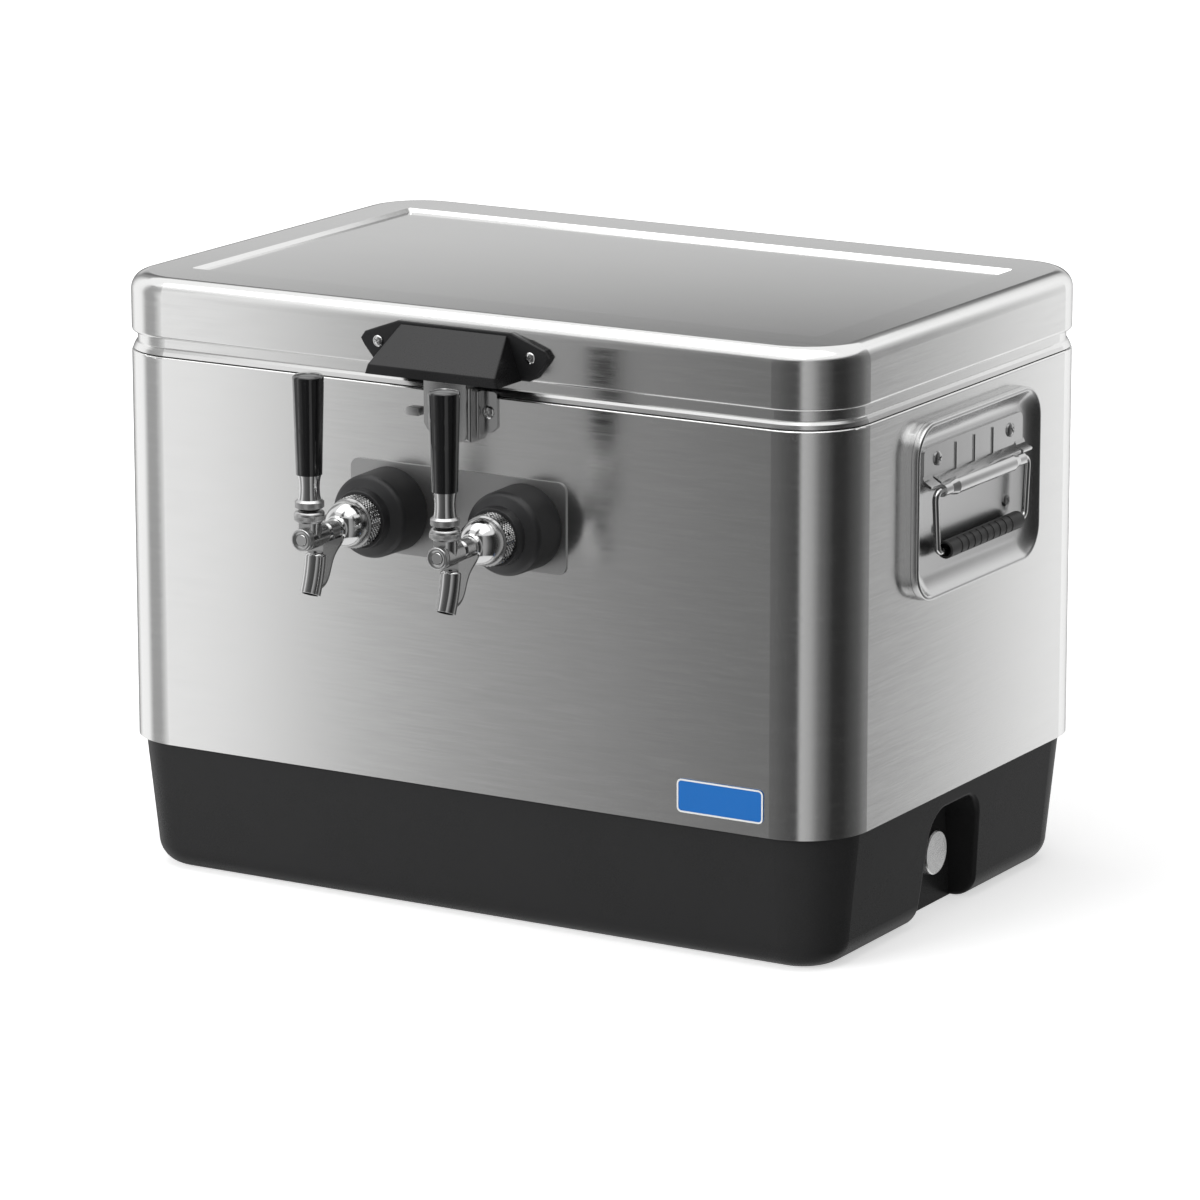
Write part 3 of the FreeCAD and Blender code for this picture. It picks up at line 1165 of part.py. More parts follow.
# --- assembly ------------------------------------------------------------------------------------
def main():
    right_bolts = handle_bolts()
    bolts = {"right": right_bolts, "left": mirrored(right_bolts)}
    body_screws = hinge_screws(BODY_SCREW_Z)
    lid_screws = hinge_screws(LID_SCREW_Z)
    hood_fixings = hood_screws()
    ear_screw = latch_screw()
    body_drills = Part.makeCompound([shank_drills(), bolts["left"], bolts["right"], body_screws, ear_screw])
    lid_drills = Part.makeCompound([lid_screws, hood_fixings])

    save("base_tub", make_base())
    save("steel_belt", make_belt(body_drills))
    save("inner_liner", make_liner(shank_drills()))
    save("body_insulation", make_body_insulation(body_drills))
    save("lid_skin", make_lid_skin(lid_drills))
    save("lid_liner", make_lid_liner())
    save("lid_insulation", make_lid_insulation(lid_drills))
    make_hinges(body_screws, lid_screws)
    save("hinge_body_screws", body_screws)
    save("hinge_lid_screws", lid_screws)
    save("lid_handle", make_lid_handle(hood_fixings))
    save("lid_handle_screws", hood_fixings)
    save("hasp_pin", hasp_pin())
    save("hasp_plate", make_hasp())
    save("latch_keeper", make_keeper(ear_screw))
    save("latch_screw", ear_screw)
    save("latch_lever", make_latch_lever())

    pan = make_pan(right_bolts)
    plate = make_handle_plate(right_bolts)
    bail = make_bail()
    grip = make_grip()
    for side in SIDES:
        save("handle_plate_" + side, for_side(plate, side))
        save("bail_rod_" + side, for_side(bail, side))
        save("bail_grip_" + side, for_side(grip, side))
    save("handle_pans", pan, mirrored(pan))
    save("handle_bolts", bolts["left"], bolts["right"])

    save("tap_plate", make_tap_plate())
    faucet_parts = {"shank_cover": make_shank_cover(),
                    "faucet_body": make_faucet_body(), "faucet_bonnet": make_bonnet(),
                    "tap_shaft": make_shaft(), "tap_lever": make_lever(),
                    "lever_ferrule": make_ferrule(), "tap_handle": make_tap_handle()}
    for name, shape in faucet_parts.items():
        for side, placed in zip(SIDES, both_taps(shape)):
            save(name + "_" + side, placed)
    save("coupling_nuts", *both_taps(make_coupling_nut()))
    save("shaft_guides", *both_taps(make_shaft_guide()))
    save("tap_shanks", *both_taps(make_shank()))

    fronts = {"wall_locknuts": [make_locknut()], "wall_washers": [make_washer()],
              "tail_nuts": [make_tail_nut()], "tailpieces": [make_tailpiece()],
              "beverage_lines": [make_line()], "line_nuts": make_line_nuts(),
              "plate_stubs": [make_stub()]}
    for name, shapes in fronts.items():
        pieces = [copy for shape in shapes for copy in both_taps(shape)]
        save(name, *(pieces + [to_back(piece) for piece in pieces]))
    save("inlet_shanks", *[to_back(copy) for copy in both_taps(make_inlet_shank())])
    save("cold_plate", make_cold_plate())

    save("drain_spout", make_drain_spout())
    save("drain_locknut", make_drain_locknut())
    save("drain_gasket", make_drain_gasket())
    save("drain_cap", make_drain_cap())
    save("badge_plate", make_badge())


main()
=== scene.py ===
import json
import math

import bmesh
import bpy
from mathutils import Matrix, Vector


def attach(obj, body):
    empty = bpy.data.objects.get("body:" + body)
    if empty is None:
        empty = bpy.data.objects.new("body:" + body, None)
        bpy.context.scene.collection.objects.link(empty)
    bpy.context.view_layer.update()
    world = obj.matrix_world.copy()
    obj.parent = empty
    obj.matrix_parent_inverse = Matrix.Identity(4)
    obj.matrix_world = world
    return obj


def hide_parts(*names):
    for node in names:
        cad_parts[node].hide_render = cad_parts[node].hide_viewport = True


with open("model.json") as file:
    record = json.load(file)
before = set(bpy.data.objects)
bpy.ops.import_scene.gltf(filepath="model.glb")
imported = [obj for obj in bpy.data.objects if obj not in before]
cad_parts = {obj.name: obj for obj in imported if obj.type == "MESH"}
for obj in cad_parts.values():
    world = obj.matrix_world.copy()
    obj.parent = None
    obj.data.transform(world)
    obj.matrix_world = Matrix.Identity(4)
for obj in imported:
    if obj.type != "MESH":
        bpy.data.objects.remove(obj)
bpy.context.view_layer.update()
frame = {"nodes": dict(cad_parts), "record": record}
NODES = frame["nodes"]

# Jockey box: brushed steel cooler with two draught faucets.
# Metres, +Z up, faucets towards -Y, drain towards +X.

# --- places, as in the solids --------------------------------------------------------------------
FRONT = -0.215
BACK = 0.215
END = 0.325
SIDES = {"left": -1, "right": 1}

TAP_X = 0.0598
TAP_Z = 0.3223
LEVER_Y = FRONT - 0.1145
NUT_R = 0.0192
NUT_BAND = (0.0462, 0.0589)
NUT_HOLE_OUT = 0.0545
NUT_HOLE_R = 0.0016
NUT_HOLE_DEPTH = 0.006
NUT_HOLES = 6
NUT_HOLE_SIDES = 20
NUT_HOLE_TURN_DEG = 20
BONNET_R = 0.0117
BONNET_BAND = (0.3363, 0.3398)
COLLAR_R = 0.0109
COLLAR_BAND = (0.3459, 0.3503)

EAR_SCREW = (0.0676, FRONT - 0.005, 0.453)
LATCH_SCREW = (0.0285, FRONT - 0.002, 0.407)
# Radius of head and length of shank.
EAR_SCREW_SIZE = (0.0044, 0.012)
LATCH_SCREW_SIZE = (0.0050, 0.010)
HINGE_SCREW_SIZE = (0.0042, 0.008)
BOLT_TOP_SIZE = (0.0055, 0.009)
BOLT_LOW_SIZE = (0.0052, 0.008)
HINGE_X = 0.2
HINGE_SCREW_X = 0.019
HINGE_SCREW_Y = BACK + 0.002
BODY_SCREW_Z = (0.382, 0.402)
LID_SCREW_Z = (0.438, 0.458)
BOLT_TOP = (END + 0.0038, 0.0602, 0.375)
BOLT_LOW = (END + 0.002, 0.058, 0.3197)
# Turn of the first screw of a row, what each next one adds, and the turn of the bolts, in radians.
SCREW_TURN = 0.6
SCREW_TURN_MORE = 1.1
BOLT_TURN = 0.4

GRIP_R = 0.0069
GRIP_HALF = 0.060
GRIP_BORE_R = 0.0052
GRIP_MIDDLE = (END + 0.011, 0.0, 0.305)
GRIP_CHAMFER = 0.0006
GRIP_CHAMFER_RISE = 0.0005
GRIP_BORE_DEPTH = 0.008
GRIP_BORE_DRAFT = 0.0003
GRIP_RIBS = 9
GRIP_RIB_PITCH = 0.0105
GRIP_RIB_HALF = 0.0022
GRIP_RIB_RISE = 0.0004
GRIP_RIB_ARC_DEG = 62
GRIP_TILT_DEG = -20

PAN_Z = 0.3375
PAN_SIZE = (0.206, 0.138)
PAN_CORNER = 0.027
PAN_CORNER_STEPS = 14
# Section of the pan from its foot at the wall to its floor: steps inwards and out of the wall.
PAN_STEPS = (
    (0.0, 0.0040), (0.0004, 0.0001), (0.0, 0.0045), (0.0003, 0.0007),
    (0.0006, 0.0005), (0.0008, 0.0002), (0.0007, 0.0), (0.0007, -0.0003),
    (0.0008, -0.0008), (0.0014, -0.0014), (0.0022, -0.0018), (0.0024, -0.0016),
    (0.0022, -0.0011), (0.0018, -0.0006), (0.0014, -0.0003), (0.0012, -0.0001),
)
PAN_SMOOTH_DEG = 38.0

BADGE_MIDDLE = (0.2295, FRONT - 0.0009, 0.1305)
BADGE_SIZE = (0.074, 0.026)
BADGE_CORNER = 0.004
BADGE_CORNER_STEPS = 8
BADGE_LINE = 0.0013
BADGE_LINE_RISE = 0.0004

INLET_THREAD_R = 0.011
INLET_THREAD_START = BACK + 0.0085
INLET_THREAD_TURNS = 11
INLET_THREAD_PITCH = 0.0018
INLET_THREAD_SWELL = 1.055
INLET_THREAD_WALL = 0.0006

# Latch lever: most turn between faces that count as one, and least turn of an edge to round.
LATCH_FLAT_DEG = 2.0
LATCH_SHARP_DEG = 28
LATCH_ROUND = 0.0013
LATCH_ROUND_STEPS = 4
LATCH_SMOOTH_DEG = 50.0
MERGE_DISTANCE = 0.00002

DRAIN_Z = 0.048

# --- studio --------------------------------------------------------------------------------------
EYE = Vector((2.4022, -4.0649, 1.3458))
AIM = Vector((-0.00221, 0.0, 0.2127))
LENS_MM = 183.5
SENSOR_MM = 36.0
ROLL_DEG = -0.075
VIEW_DEPTH = 100.0

WORLD_LIGHT = 0.38
# Place, point aimed at, width, height and radiance.
OVERHEAD = ((-0.1, -0.35, 2.1), (0, 0, 0.3), 2.4, 1.7, 1.3)
FRONT_FILL = ((-1.0, -2.6, 0.9), (0, 0, 0.2), 1.8, 1.4, 7.0)
FLOOR_SIZE = 60.0
FLOOR_TONE = 0.92
# Glow of the floor near the cooler, what it gains farther out, and where that starts and ends.
FLOOR_GLOW = 0.55
FLOOR_GLOW_MORE = 0.4
FLOOR_GLOW_FROM = 0.45
FLOOR_GLOW_TO = 1.6
TENT_SIDES = 96
TENT_RADIUS = 1.3
TENT_LOW = -1.4
TENT_HIGH = 1.25
# Grey of the tent wall by bearing: 0 is the front (-Y), 90 the drain end, -90 the other end.
TENT_TONES = [
    (-180, 0.46), (-150, 0.46), (-128, 0.48), (-112, 0.30), (-96, 1.0), (-74, 1.0), (-65, 0.36),
    (-48, 0.38), (-43, 1.0), (-37, 0.88), (-31, 0.48), (-26, 0.33), (-18, 0.21), (-11, 0.14),
    (4, 0.10), (27, 0.06), (31, 0.50), (43, 0.38), (53, 0.15), (70, 0.03), (84, 0.03),
    (110, 0.10), (133, 0.25), (138, 0.42), (142, 0.78), (146, 1.05), (164, 0.9), (180, 0.46),
]
# Part of the wall behind the cooler's left shoulder: its middle, its edge and its grey by height.
REAR_WAY = (-0.509, 0.861)
REAR_EDGE = (0.80, 0.90)
REAR_TONES = [
    (-0.6, 0.30), (0.30, 0.12), (0.50, 0.10), (0.58, 0.56), (0.67, 0.64), (0.73, 0.50),
    (0.81, 0.17), (0.90, 0.15), (1.20, 0.35),
]


class Field:
    """An output of a shader node, with arithmetic that adds Math nodes."""

    def __init__(self, shader, socket):
        self.shader = shader
        self.socket = socket

    def math(self, operation, *others, first=None):
        values = [self if first is None else first, *others]
        return self.shader.node("ShaderNodeMath", {"operation": operation}, dict(enumerate(values)))

    def __add__(self, other):
        return self.math("ADD", other)

    def __radd__(self, other):
        return self.math("ADD", other)

    def __sub__(self, other):
        return self.math("SUBTRACT", other)

    def __rsub__(self, other):
        return self.math("SUBTRACT", self, first=other)

    def __mul__(self, other):
        return self.math("MULTIPLY", other)

    def __rmul__(self, other):
        return self.math("MULTIPLY", other)

    def __truediv__(self, other):
        return self.math("DIVIDE", other)

    def __pow__(self, other):
        return self.math("POWER", other)

    def smooth(self, low, high):
        """0 below low, 1 above high, and an S-curve in between."""
        settings = {"interpolation_type": "SMOOTHSTEP"}
        inputs = {0: self, 1: low, 2: high, 3: 0.0, 4: 1.0}
        return self.shader.node("ShaderNodeMapRange", settings, inputs)


class Shader:
    """Builds the node tree of one material."""

    def __init__(self, name, tree=None):
        if tree is None:
            self.material = bpy.data.materials.new(name)
            self.material.use_nodes = True
            tree = self.material.node_tree
        self.tree = tree
        self.tree.nodes.clear()

    def node(self, kind, settings=None, inputs=None, output=0):
        """A node of that kind, with its settings and the values or links of its sockets.

        A colour ramp has one setting, its stops.
        """
        node = self.tree.nodes.new(kind)
        for key, value in (settings or {}).items():
            if key == "stops":
                ramp = node.color_ramp
                while len(ramp.elements) > 1:
                    ramp.elements.remove(ramp.elements[-1])
                ramp.elements[0].position = value[0][0]
                ramp.elements[0].color = grey(value[0][1])
                for place, tone in value[1:]:
                    ramp.elements.new(place).color = grey(tone)
            else:
                setattr(node, key, value)
        for key, value in (inputs or {}).items():
            if isinstance(value, Field):
                self.tree.links.new(value.socket, node.inputs[key])
            else:
                node.inputs[key].default_value = value
        return Field(self, node.outputs[output])

    def place(self, scale=(1, 1, 1)):
        """Object coordinates stretched by a scale."""
        where = self.node("ShaderNodeTexCoord", output="Object")
        return self.node("ShaderNodeMapping", None, {"Vector": where, "Scale": scale})

    def noise(self, scale, detail=2.0, roughness=0.5):
        """Noise between 0 and 1, with a feature about every 1/scale metres; scale may go by axis."""
        scale = scale if isinstance(scale, tuple) else (scale, scale, scale)
        inputs = {"Vector": self.place(scale), "Scale": 1.0, "Detail": detail,
                  "Roughness": roughness}
        return self.node("ShaderNodeTexNoise", None, inputs)

    def split(self, vector):
        """The three parts of a vector."""
        return [self.node("ShaderNodeSeparateXYZ", None, {0: vector}, part) for part in range(3)]

    def blend(self, share, first, second):
        """Colour that goes from first to second."""
        settings = {"data_type": "RGBA"}
        return self.node("ShaderNodeMix", settings, {0: share, 6: first, 7: second}, 2)

    def bump(self, height, distance):
        """Normal that follows a height of that many metres."""
        inputs = {"Height": height, "Distance": distance, "Strength": 1.0}
        return self.node("ShaderNodeBump", None, inputs)

    def surface(self, **inputs):
        """Principled shader on the output: keyword names are its sockets, with _ for a space."""
        sockets = {key.replace("_", " "): value for key, value in inputs.items()}
        self.output(self.node("ShaderNodeBsdfPrincipled", None, sockets))
        return self.material

    def output(self, shader):
        end = self.tree.nodes.new("ShaderNodeOutputMaterial")
        self.tree.links.new(shader.socket, end.inputs[0])


def grey(tone):
    """Colour of an even tone, or the colour itself."""
    return (tone, tone, tone, 1.0) if isinstance(tone, (int, float)) else (*tone, 1.0)


# --- finishes ------------------------------------------------------------------------------------
# Features of the brush lines per metre, along and across them, and their share of the relief.
BRUSH_LINES = ((14.0, 900.0, 0.55), (26.0, 300.0, 0.45))
BRUSH_DETAIL = (3.0, 0.65)
BRUSH_TURN = 0.25
# Upright part of the normal where the finish goes from wall to top, and the top's longer lines.
TOP_FROM = 0.55
TOP_TO = 0.85
TOP_SCALE = 0.5
STEEL_DARK = (0.80, 0.80, 0.795)
STEEL_PALE = (0.92, 0.92, 0.915)
# Broad clouds per metre, and how far lines and clouds go into the colour and the roughness.
STEEL_CLOUDS = 5.0
CLOUD_DETAIL = 3.0
LINE_TONE = 0.22
CLOUD_TONE = 0.03
TONE_CONTRAST = 4.0
LINE_ROUGH = 0.36
LINE_ROUGH_LESS_ON_TOP = 0.22
CLOUD_ROUGH = 0.04


def brushed_steel(name, rough, rough_top, grain, stretch):
    """Sheet steel with fine level brush lines on its walls, and lines along X on its top."""
    s = Shader(name)
    upright = s.split(s.node("ShaderNodeNewGeometry", output="Normal"))[2].math("ABSOLUTE")
    top = upright.smooth(TOP_FROM, TOP_TO)
    lines = []
    for along, across, share in BRUSH_LINES:
        on_wall = s.noise((along, along, across), *BRUSH_DETAIL)
        on_top = s.noise((along * TOP_SCALE, across, along), *BRUSH_DETAIL)
        lines.append((on_wall * (1 - top) + on_top * top) * share)
    height = lines[0] + lines[1]
    cloud = s.noise(STEEL_CLOUDS, CLOUD_DETAIL)
    tone = height * LINE_TONE + cloud * CLOUD_TONE - (LINE_TONE + CLOUD_TONE) / 2
    colour = s.blend(0.5 + tone * TONE_CONTRAST, grey(STEEL_DARK), grey(STEEL_PALE))
    even = rough + (rough_top - rough) * top
    lined = (height - 0.5) * (LINE_ROUGH - LINE_ROUGH_LESS_ON_TOP * top)
    return s.surface(Base_Color=colour, Metallic=1.0,
                     Roughness=even + lined + (cloud - 0.5) * CLOUD_ROUGH,
                     Anisotropic=stretch, Anisotropic_Rotation=BRUSH_TURN,
                     Normal=s.bump(height, grain))


HAZE = 70.0
HAZE_DARK = 0.94


def cast_steel(name, tone, rough, grain, pitch=1500.0, patches=0.10):
    """Polished or satin metal with a faint uneven polish."""
    s = Shader(name)
    haze = s.noise(HAZE, CLOUD_DETAIL)
    fine = s.noise(pitch)
    colour = s.blend(haze, grey(tone * HAZE_DARK), grey(tone))
    return s.surface(Base_Color=colour, Metallic=1.0, Roughness=rough + (haze - 0.5) * patches,
                     Normal=s.bump(fine, grain))


SPUN_RINGS = 3000.0
SPUN_DARK = 0.86
SPUN_ROUGH = 0.1


def spun_steel(name, tone, rough, grain):
    """Turned steel of the drain cap: fine rings round the drain's axis."""
    s = Shader(name)
    x, y, z = s.split(s.place())
    height = z - DRAIN_Z
    radius = (y * y + height * height) ** 0.5
    settings = {"noise_dimensions": "1D"}
    ring = s.node("ShaderNodeTexNoise", settings, {"W": radius * SPUN_RINGS, "Detail": 2.0})
    colour = s.blend(ring, grey(tone * SPUN_DARK), grey(tone))
    return s.surface(Base_Color=colour, Metallic=1.0, Roughness=rough + (ring - 0.5) * SPUN_ROUGH,
                     Normal=s.bump(ring, grain))


MOULD_CLOUDS = 14.0
MOULD_DARK = 0.88
MOULD_CLOUD_ROUGH = 0.07
MOULD_GRAIN_ROUGH = 0.06
COAT_ROUGH = 0.04


def moulded(name, tone, rough, grain, pitch=1400.0, coat=0.0, shine=0.5):
    """Moulded plastic or rubber with a fine spark-eroded grain."""
    s = Shader(name)
    fine = s.noise(pitch)
    cloud = s.noise(MOULD_CLOUDS, CLOUD_DETAIL)
    dark = [part * MOULD_DARK for part in tone]
    colour = s.blend(cloud, grey(dark), grey(tone))
    gloss = rough + (cloud - 0.5) * MOULD_CLOUD_ROUGH + (fine - 0.5) * MOULD_GRAIN_ROUGH
    return s.surface(Base_Color=colour, Roughness=gloss, Specular_IOR_Level=shine,
                     Coat_Weight=coat, Coat_Roughness=COAT_ROUGH, Normal=s.bump(fine, grain))


FINISHES = {
    "brushed_belt": brushed_steel("belt_steel", 0.19, 0.19, 0.00004, 0.55),
    "brushed_lid": brushed_steel("lid_steel", 0.19, 0.10, 0.00002, 0.0),
    "pressed_steel": cast_steel("pressed_steel_satin", 0.66, 0.20, 0.0000008, patches=0.04),
    "polished_steel": cast_steel("polished_steel", 0.74, 0.12, 0.0000006, patches=0.05),
    "tube_steel": cast_steel("tube_steel", 0.60, 0.30, 0.000004),
    "moulded_black": moulded("moulded_charcoal", (0.029, 0.029, 0.0295), 0.28, 0.00002, shine=0.04),
    "gloss_black": moulded("gloss_black", (0.003, 0.003, 0.0035), 0.14, 0.000001, coat=1.0),
    "grip_rubber": moulded("grip_rubber", (0.032, 0.032, 0.032), 0.50, 0.00003),
    "liner_plastic": moulded("liner_plastic", (0.74, 0.75, 0.74), 0.40, 0.00002),
    "foam": moulded("foam", (0.82, 0.76, 0.55), 0.85, 0.0004, 260.0),
    "cast_alloy": cast_steel("cast_alloy", 0.52, 0.46, 0.00006),
    "badge_blue": moulded("badge_blue", (0.003, 0.135, 0.47), 0.38, 0.000002, coat=0.15),
}
PAN_STEEL = cast_steel("pan_steel", 0.70, 0.25, 0.0000006, patches=0.03)
CUP_PLASTIC = moulded("cup_plastic", (0.015, 0.015, 0.016), 0.44, 0.00003)
HOOD_PLASTIC = moulded("hood_plastic", (0.0125, 0.0125, 0.013), 0.28, 0.00002, shine=0.28)
KNURL = cast_steel("knurled_steel", 0.34, 0.20, 0.000002)
BOLT_STEEL = cast_steel("bolt_steel", 0.56, 0.24, 0.000001, patches=0.04)
CHROME = cast_steel("faucet_chrome", 0.68, 0.13, 0.0000006, patches=0.05)
SATIN = cast_steel("satin_steel", 0.58, 0.30, 0.000003)
# Nodes whose finish differs from the rest of their slot.
OWN_FINISHES = {
    "tap_plate": cast_steel("tap_plate_satin", 0.60, 0.40, 0.000004, patches=0.05),
    "lid_handle": HOOD_PLASTIC,
    "shank_cover_left": CUP_PLASTIC,
    "shank_cover_right": CUP_PLASTIC,
    "faucet_body_left": CHROME,
    "faucet_body_right": CHROME,
    "faucet_bonnet_left": SATIN,
    "faucet_bonnet_right": SATIN,
    "tap_lever_left": SATIN,
    "tap_lever_right": SATIN,
    "shaft_guides": SATIN,
    "coupling_nuts": KNURL,
    "drain_cap": spun_steel("spun_steel", 0.70, 0.26, 0.00002),
    "drain_gasket": moulded("pale_gasket", (0.55, 0.55, 0.54), 0.5, 0.00002),
}


def dress_nodes():
    """Give every CAD node the finish of its material slot, or its own."""
    slots = {part["node"]: part["material_slot"] for part in frame["record"]["subparts"]}
    for name, node in NODES.items():
        node.material_slots[0].material = OWN_FINISHES.get(name, FINISHES[slots[name]])


# --- modelling -----------------------------------------------------------------------------------
UP = Vector((0, 0, 1))
# Least upright part of the normal of a face that counts as an end of a turned shape.
FACING = 0.9
ROUND_SIDES = 48


def primitive(kind, **settings):
    """A new primitive alone in the selection, with its place in its mesh."""
    bpy.ops.object.select_all(action="DESELECT")
    getattr(bpy.ops.mesh, "primitive_" + kind + "_add")(**settings)
    bpy.ops.object.transform_apply()
    return bpy.context.object


def pick(piece, kind, test):
    """Edit mode, with the faces or the edges that pass a test selected.

    A face is tested by its middle and normal, and an edge by its two ends.
    """
    bpy.context.view_layer.objects.active = piece
    bpy.ops.object.mode_set(mode="EDIT")
    bpy.ops.mesh.select_mode(type=kind)
    bpy.ops.mesh.select_all(action="DESELECT")
    mesh = bmesh.from_edit_mesh(piece.data)
    if kind == "FACE":
        for face in mesh.faces:
            face.select_set(test(face.calc_center_median(), face.normal))
    else:
        for edge in mesh.edges:
            edge.select_set(test(*[end.co for end in edge.verts]))
    bmesh.update_edit_mesh(piece.data)


def everywhere(*_):
    return True


def leave_edit():
    bpy.ops.object.mode_set(mode="OBJECT")


def extrude(move):
    bpy.ops.mesh.extrude_region_move(TRANSFORM_OT_translate={"value": move})


def modify(piece, kind, **settings):
    """Add a modifier and apply it."""
    bpy.ops.object.select_all(action="DESELECT")
    piece.select_set(True)
    bpy.context.view_layer.objects.active = piece
    change = piece.modifiers.new("change", kind)
    for key, value in settings.items():
        setattr(change, key, value)
    bpy.ops.object.modifier_apply(modifier=change.name)


def cut(piece, tool):
    """Cut the tool's shape out of the piece."""
    modify(piece, "BOOLEAN", operation="DIFFERENCE", solver="EXACT", object=tool)
    bpy.data.objects.remove(tool)


def towards(direction, place, turn=0.0):
    """Matrix that carries a shape standing on the origin along +Z to a place and a direction."""
    aim = UP.rotation_difference(Vector(direction)).to_matrix().to_4x4()
    return Matrix.Translation(place) @ aim @ Matrix.Rotation(turn, 4, "Z")


def copies(piece, matrices):
    """Copies of a piece, each with its own mesh; the piece itself goes."""
    made = []
    for matrix in matrices:
        copy = piece.copy()
        copy.data = piece.data.copy()
        copy.data.transform(matrix)
        bpy.context.scene.collection.objects.link(copy)
        made.append(copy)
    bpy.data.objects.remove(piece)
    return made


def hand_over(pieces, name, body, slot, finish, *nodes, angle=30.0):
    """Join pieces into one with a name, body and finish, in place of the nodes given; the slot is
    not used.
    """
    bpy.ops.object.select_all(action="DESELECT")
    for piece in pieces:
        piece.select_set(True)
    bpy.context.view_layer.objects.active = pieces[0]
    if len(pieces) > 1:
        bpy.ops.object.join()
    whole = bpy.context.object
    whole.name = name
    whole.data.name = name
    bpy.ops.object.shade_smooth_by_angle(angle=math.radians(angle))
    whole.data.materials.clear()
    whole.data.materials.append(finish)
    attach(whole, body)
    if nodes:
        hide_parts(*nodes)


# --- screws --------------------------------------------------------------------------------------
SCREW_SIDES = 40
SCREW_EDGE = 0.0009
# Steps of the dome: inwards as a share of the radius, and upwards.
SCREW_DOME = ((0.10, 0.00045), (0.16, 0.00042), (0.22, 0.00030), (0.24, 0.00014))
SHANK_INSET = 0.55
# Arms of the cross recess: length and width as shares of the radius, depth, how far their middle
# lies under the top as a share of the depth, and how much narrower they are at the bottom.
RECESS_LENGTH = 1.15
RECESS_WIDTH = 0.27
RECESS_DEPTH = 0.0015
RECESS_SINK = 0.45
RECESS_TAPER = 0.55


def pan_screw(radius, shank):
    """Pan-head screw with a cross recess, along +Z with its seat on the origin."""
    screw = primitive("cylinder", vertices=SCREW_SIDES, radius=radius, depth=SCREW_EDGE,
                      location=(0, 0, SCREW_EDGE / 2))
    pick(screw, "FACE", lambda middle, normal: normal.z > FACING)
    for inward, rise in SCREW_DOME:
        bpy.ops.mesh.inset(thickness=inward * radius, depth=rise)
    leave_edit()
    pick(screw, "FACE", lambda middle, normal: normal.z < -FACING)
    bpy.ops.mesh.inset(thickness=SHANK_INSET * radius, depth=0.0)
    extrude((0, 0, -shank))
    leave_edit()
    top = SCREW_EDGE + sum(rise for _, rise in SCREW_DOME)
    arm = (RECESS_LENGTH * radius, RECESS_WIDTH * radius, RECESS_DEPTH)
    for turn in (0.0, math.pi / 2):
        blade = primitive("cube", size=1.0, scale=arm, rotation=(0, 0, turn),
                          location=(0, 0, top - RECESS_DEPTH * RECESS_SINK))
        pick(blade, "FACE", lambda middle, normal: normal.z < -FACING)
        bpy.ops.transform.resize(value=(RECESS_TAPER, RECESS_TAPER, 1))
        leave_edit()
        cut(screw, blade)
    return screw


def make_screws():
    """Screws with a cross recess, each turned its own way."""
    sides = SIDES.values()
    hinge = [side * HINGE_X + x for side in sides for x in (-HINGE_SCREW_X, HINGE_SCREW_X)]
    x, y, z = EAR_SCREW
    rows = {
        "lid_handle_screws": ("lid", EAR_SCREW_SIZE, (0, -1, 0),
                              [(side * x, y, z) for side in sides]),
        "latch_screw": ("cooler_body", LATCH_SCREW_SIZE, (0, -1, 0), [LATCH_SCREW]),
        "hinge_body_screws": ("cooler_body", HINGE_SCREW_SIZE, (0, 1, 0),
                              [(x, HINGE_SCREW_Y, z) for x in hinge for z in BODY_SCREW_Z]),
        "hinge_lid_screws": ("lid", HINGE_SCREW_SIZE, (0, 1, 0),
                             [(x, HINGE_SCREW_Y, z) for x in hinge for z in LID_SCREW_Z]),
    }
    for node, (body, size, direction, seats) in rows.items():
        turned = [towards(direction, seat, SCREW_TURN + SCREW_TURN_MORE * place)
                  for place, seat in enumerate(seats)]
        hand_over(copies(pan_screw(*size), turned), node + "_cross", body, "polished_steel",
                  FINISHES["polished_steel"], node)
    bolts = []
    for size, (out, y, z) in ((BOLT_TOP_SIZE, BOLT_TOP), (BOLT_LOW_SIZE, BOLT_LOW)):
        seats = [towards((end, 0, 0), (end * out, side * y, z), BOLT_TURN + side + end)
                 for end in sides for side in sides]
        bolts += copies(pan_screw(*size), seats)
    hand_over(bolts, "handle_bolts_cross", "cooler_body", "polished_steel", BOLT_STEEL,
              "handle_bolts")


# --- knurled bands -------------------------------------------------------------------------------
BAND_WALL = 0.0007
# How near a level a point of the band counts as on it, and how far the rims keep their edges, in
# steps between rings.
LEVEL_SLACK = 0.1
RIM_MARGIN = 0.4
# Points around, rings of points, and height of the points.
NUT_KNURL = (38, 4, 0.00085)
BONNET_KNURL = (48, 3, 0.00028)
COLLAR_KNURL = (46, 3, 0.00028)
CRISP_DEG = 12.0


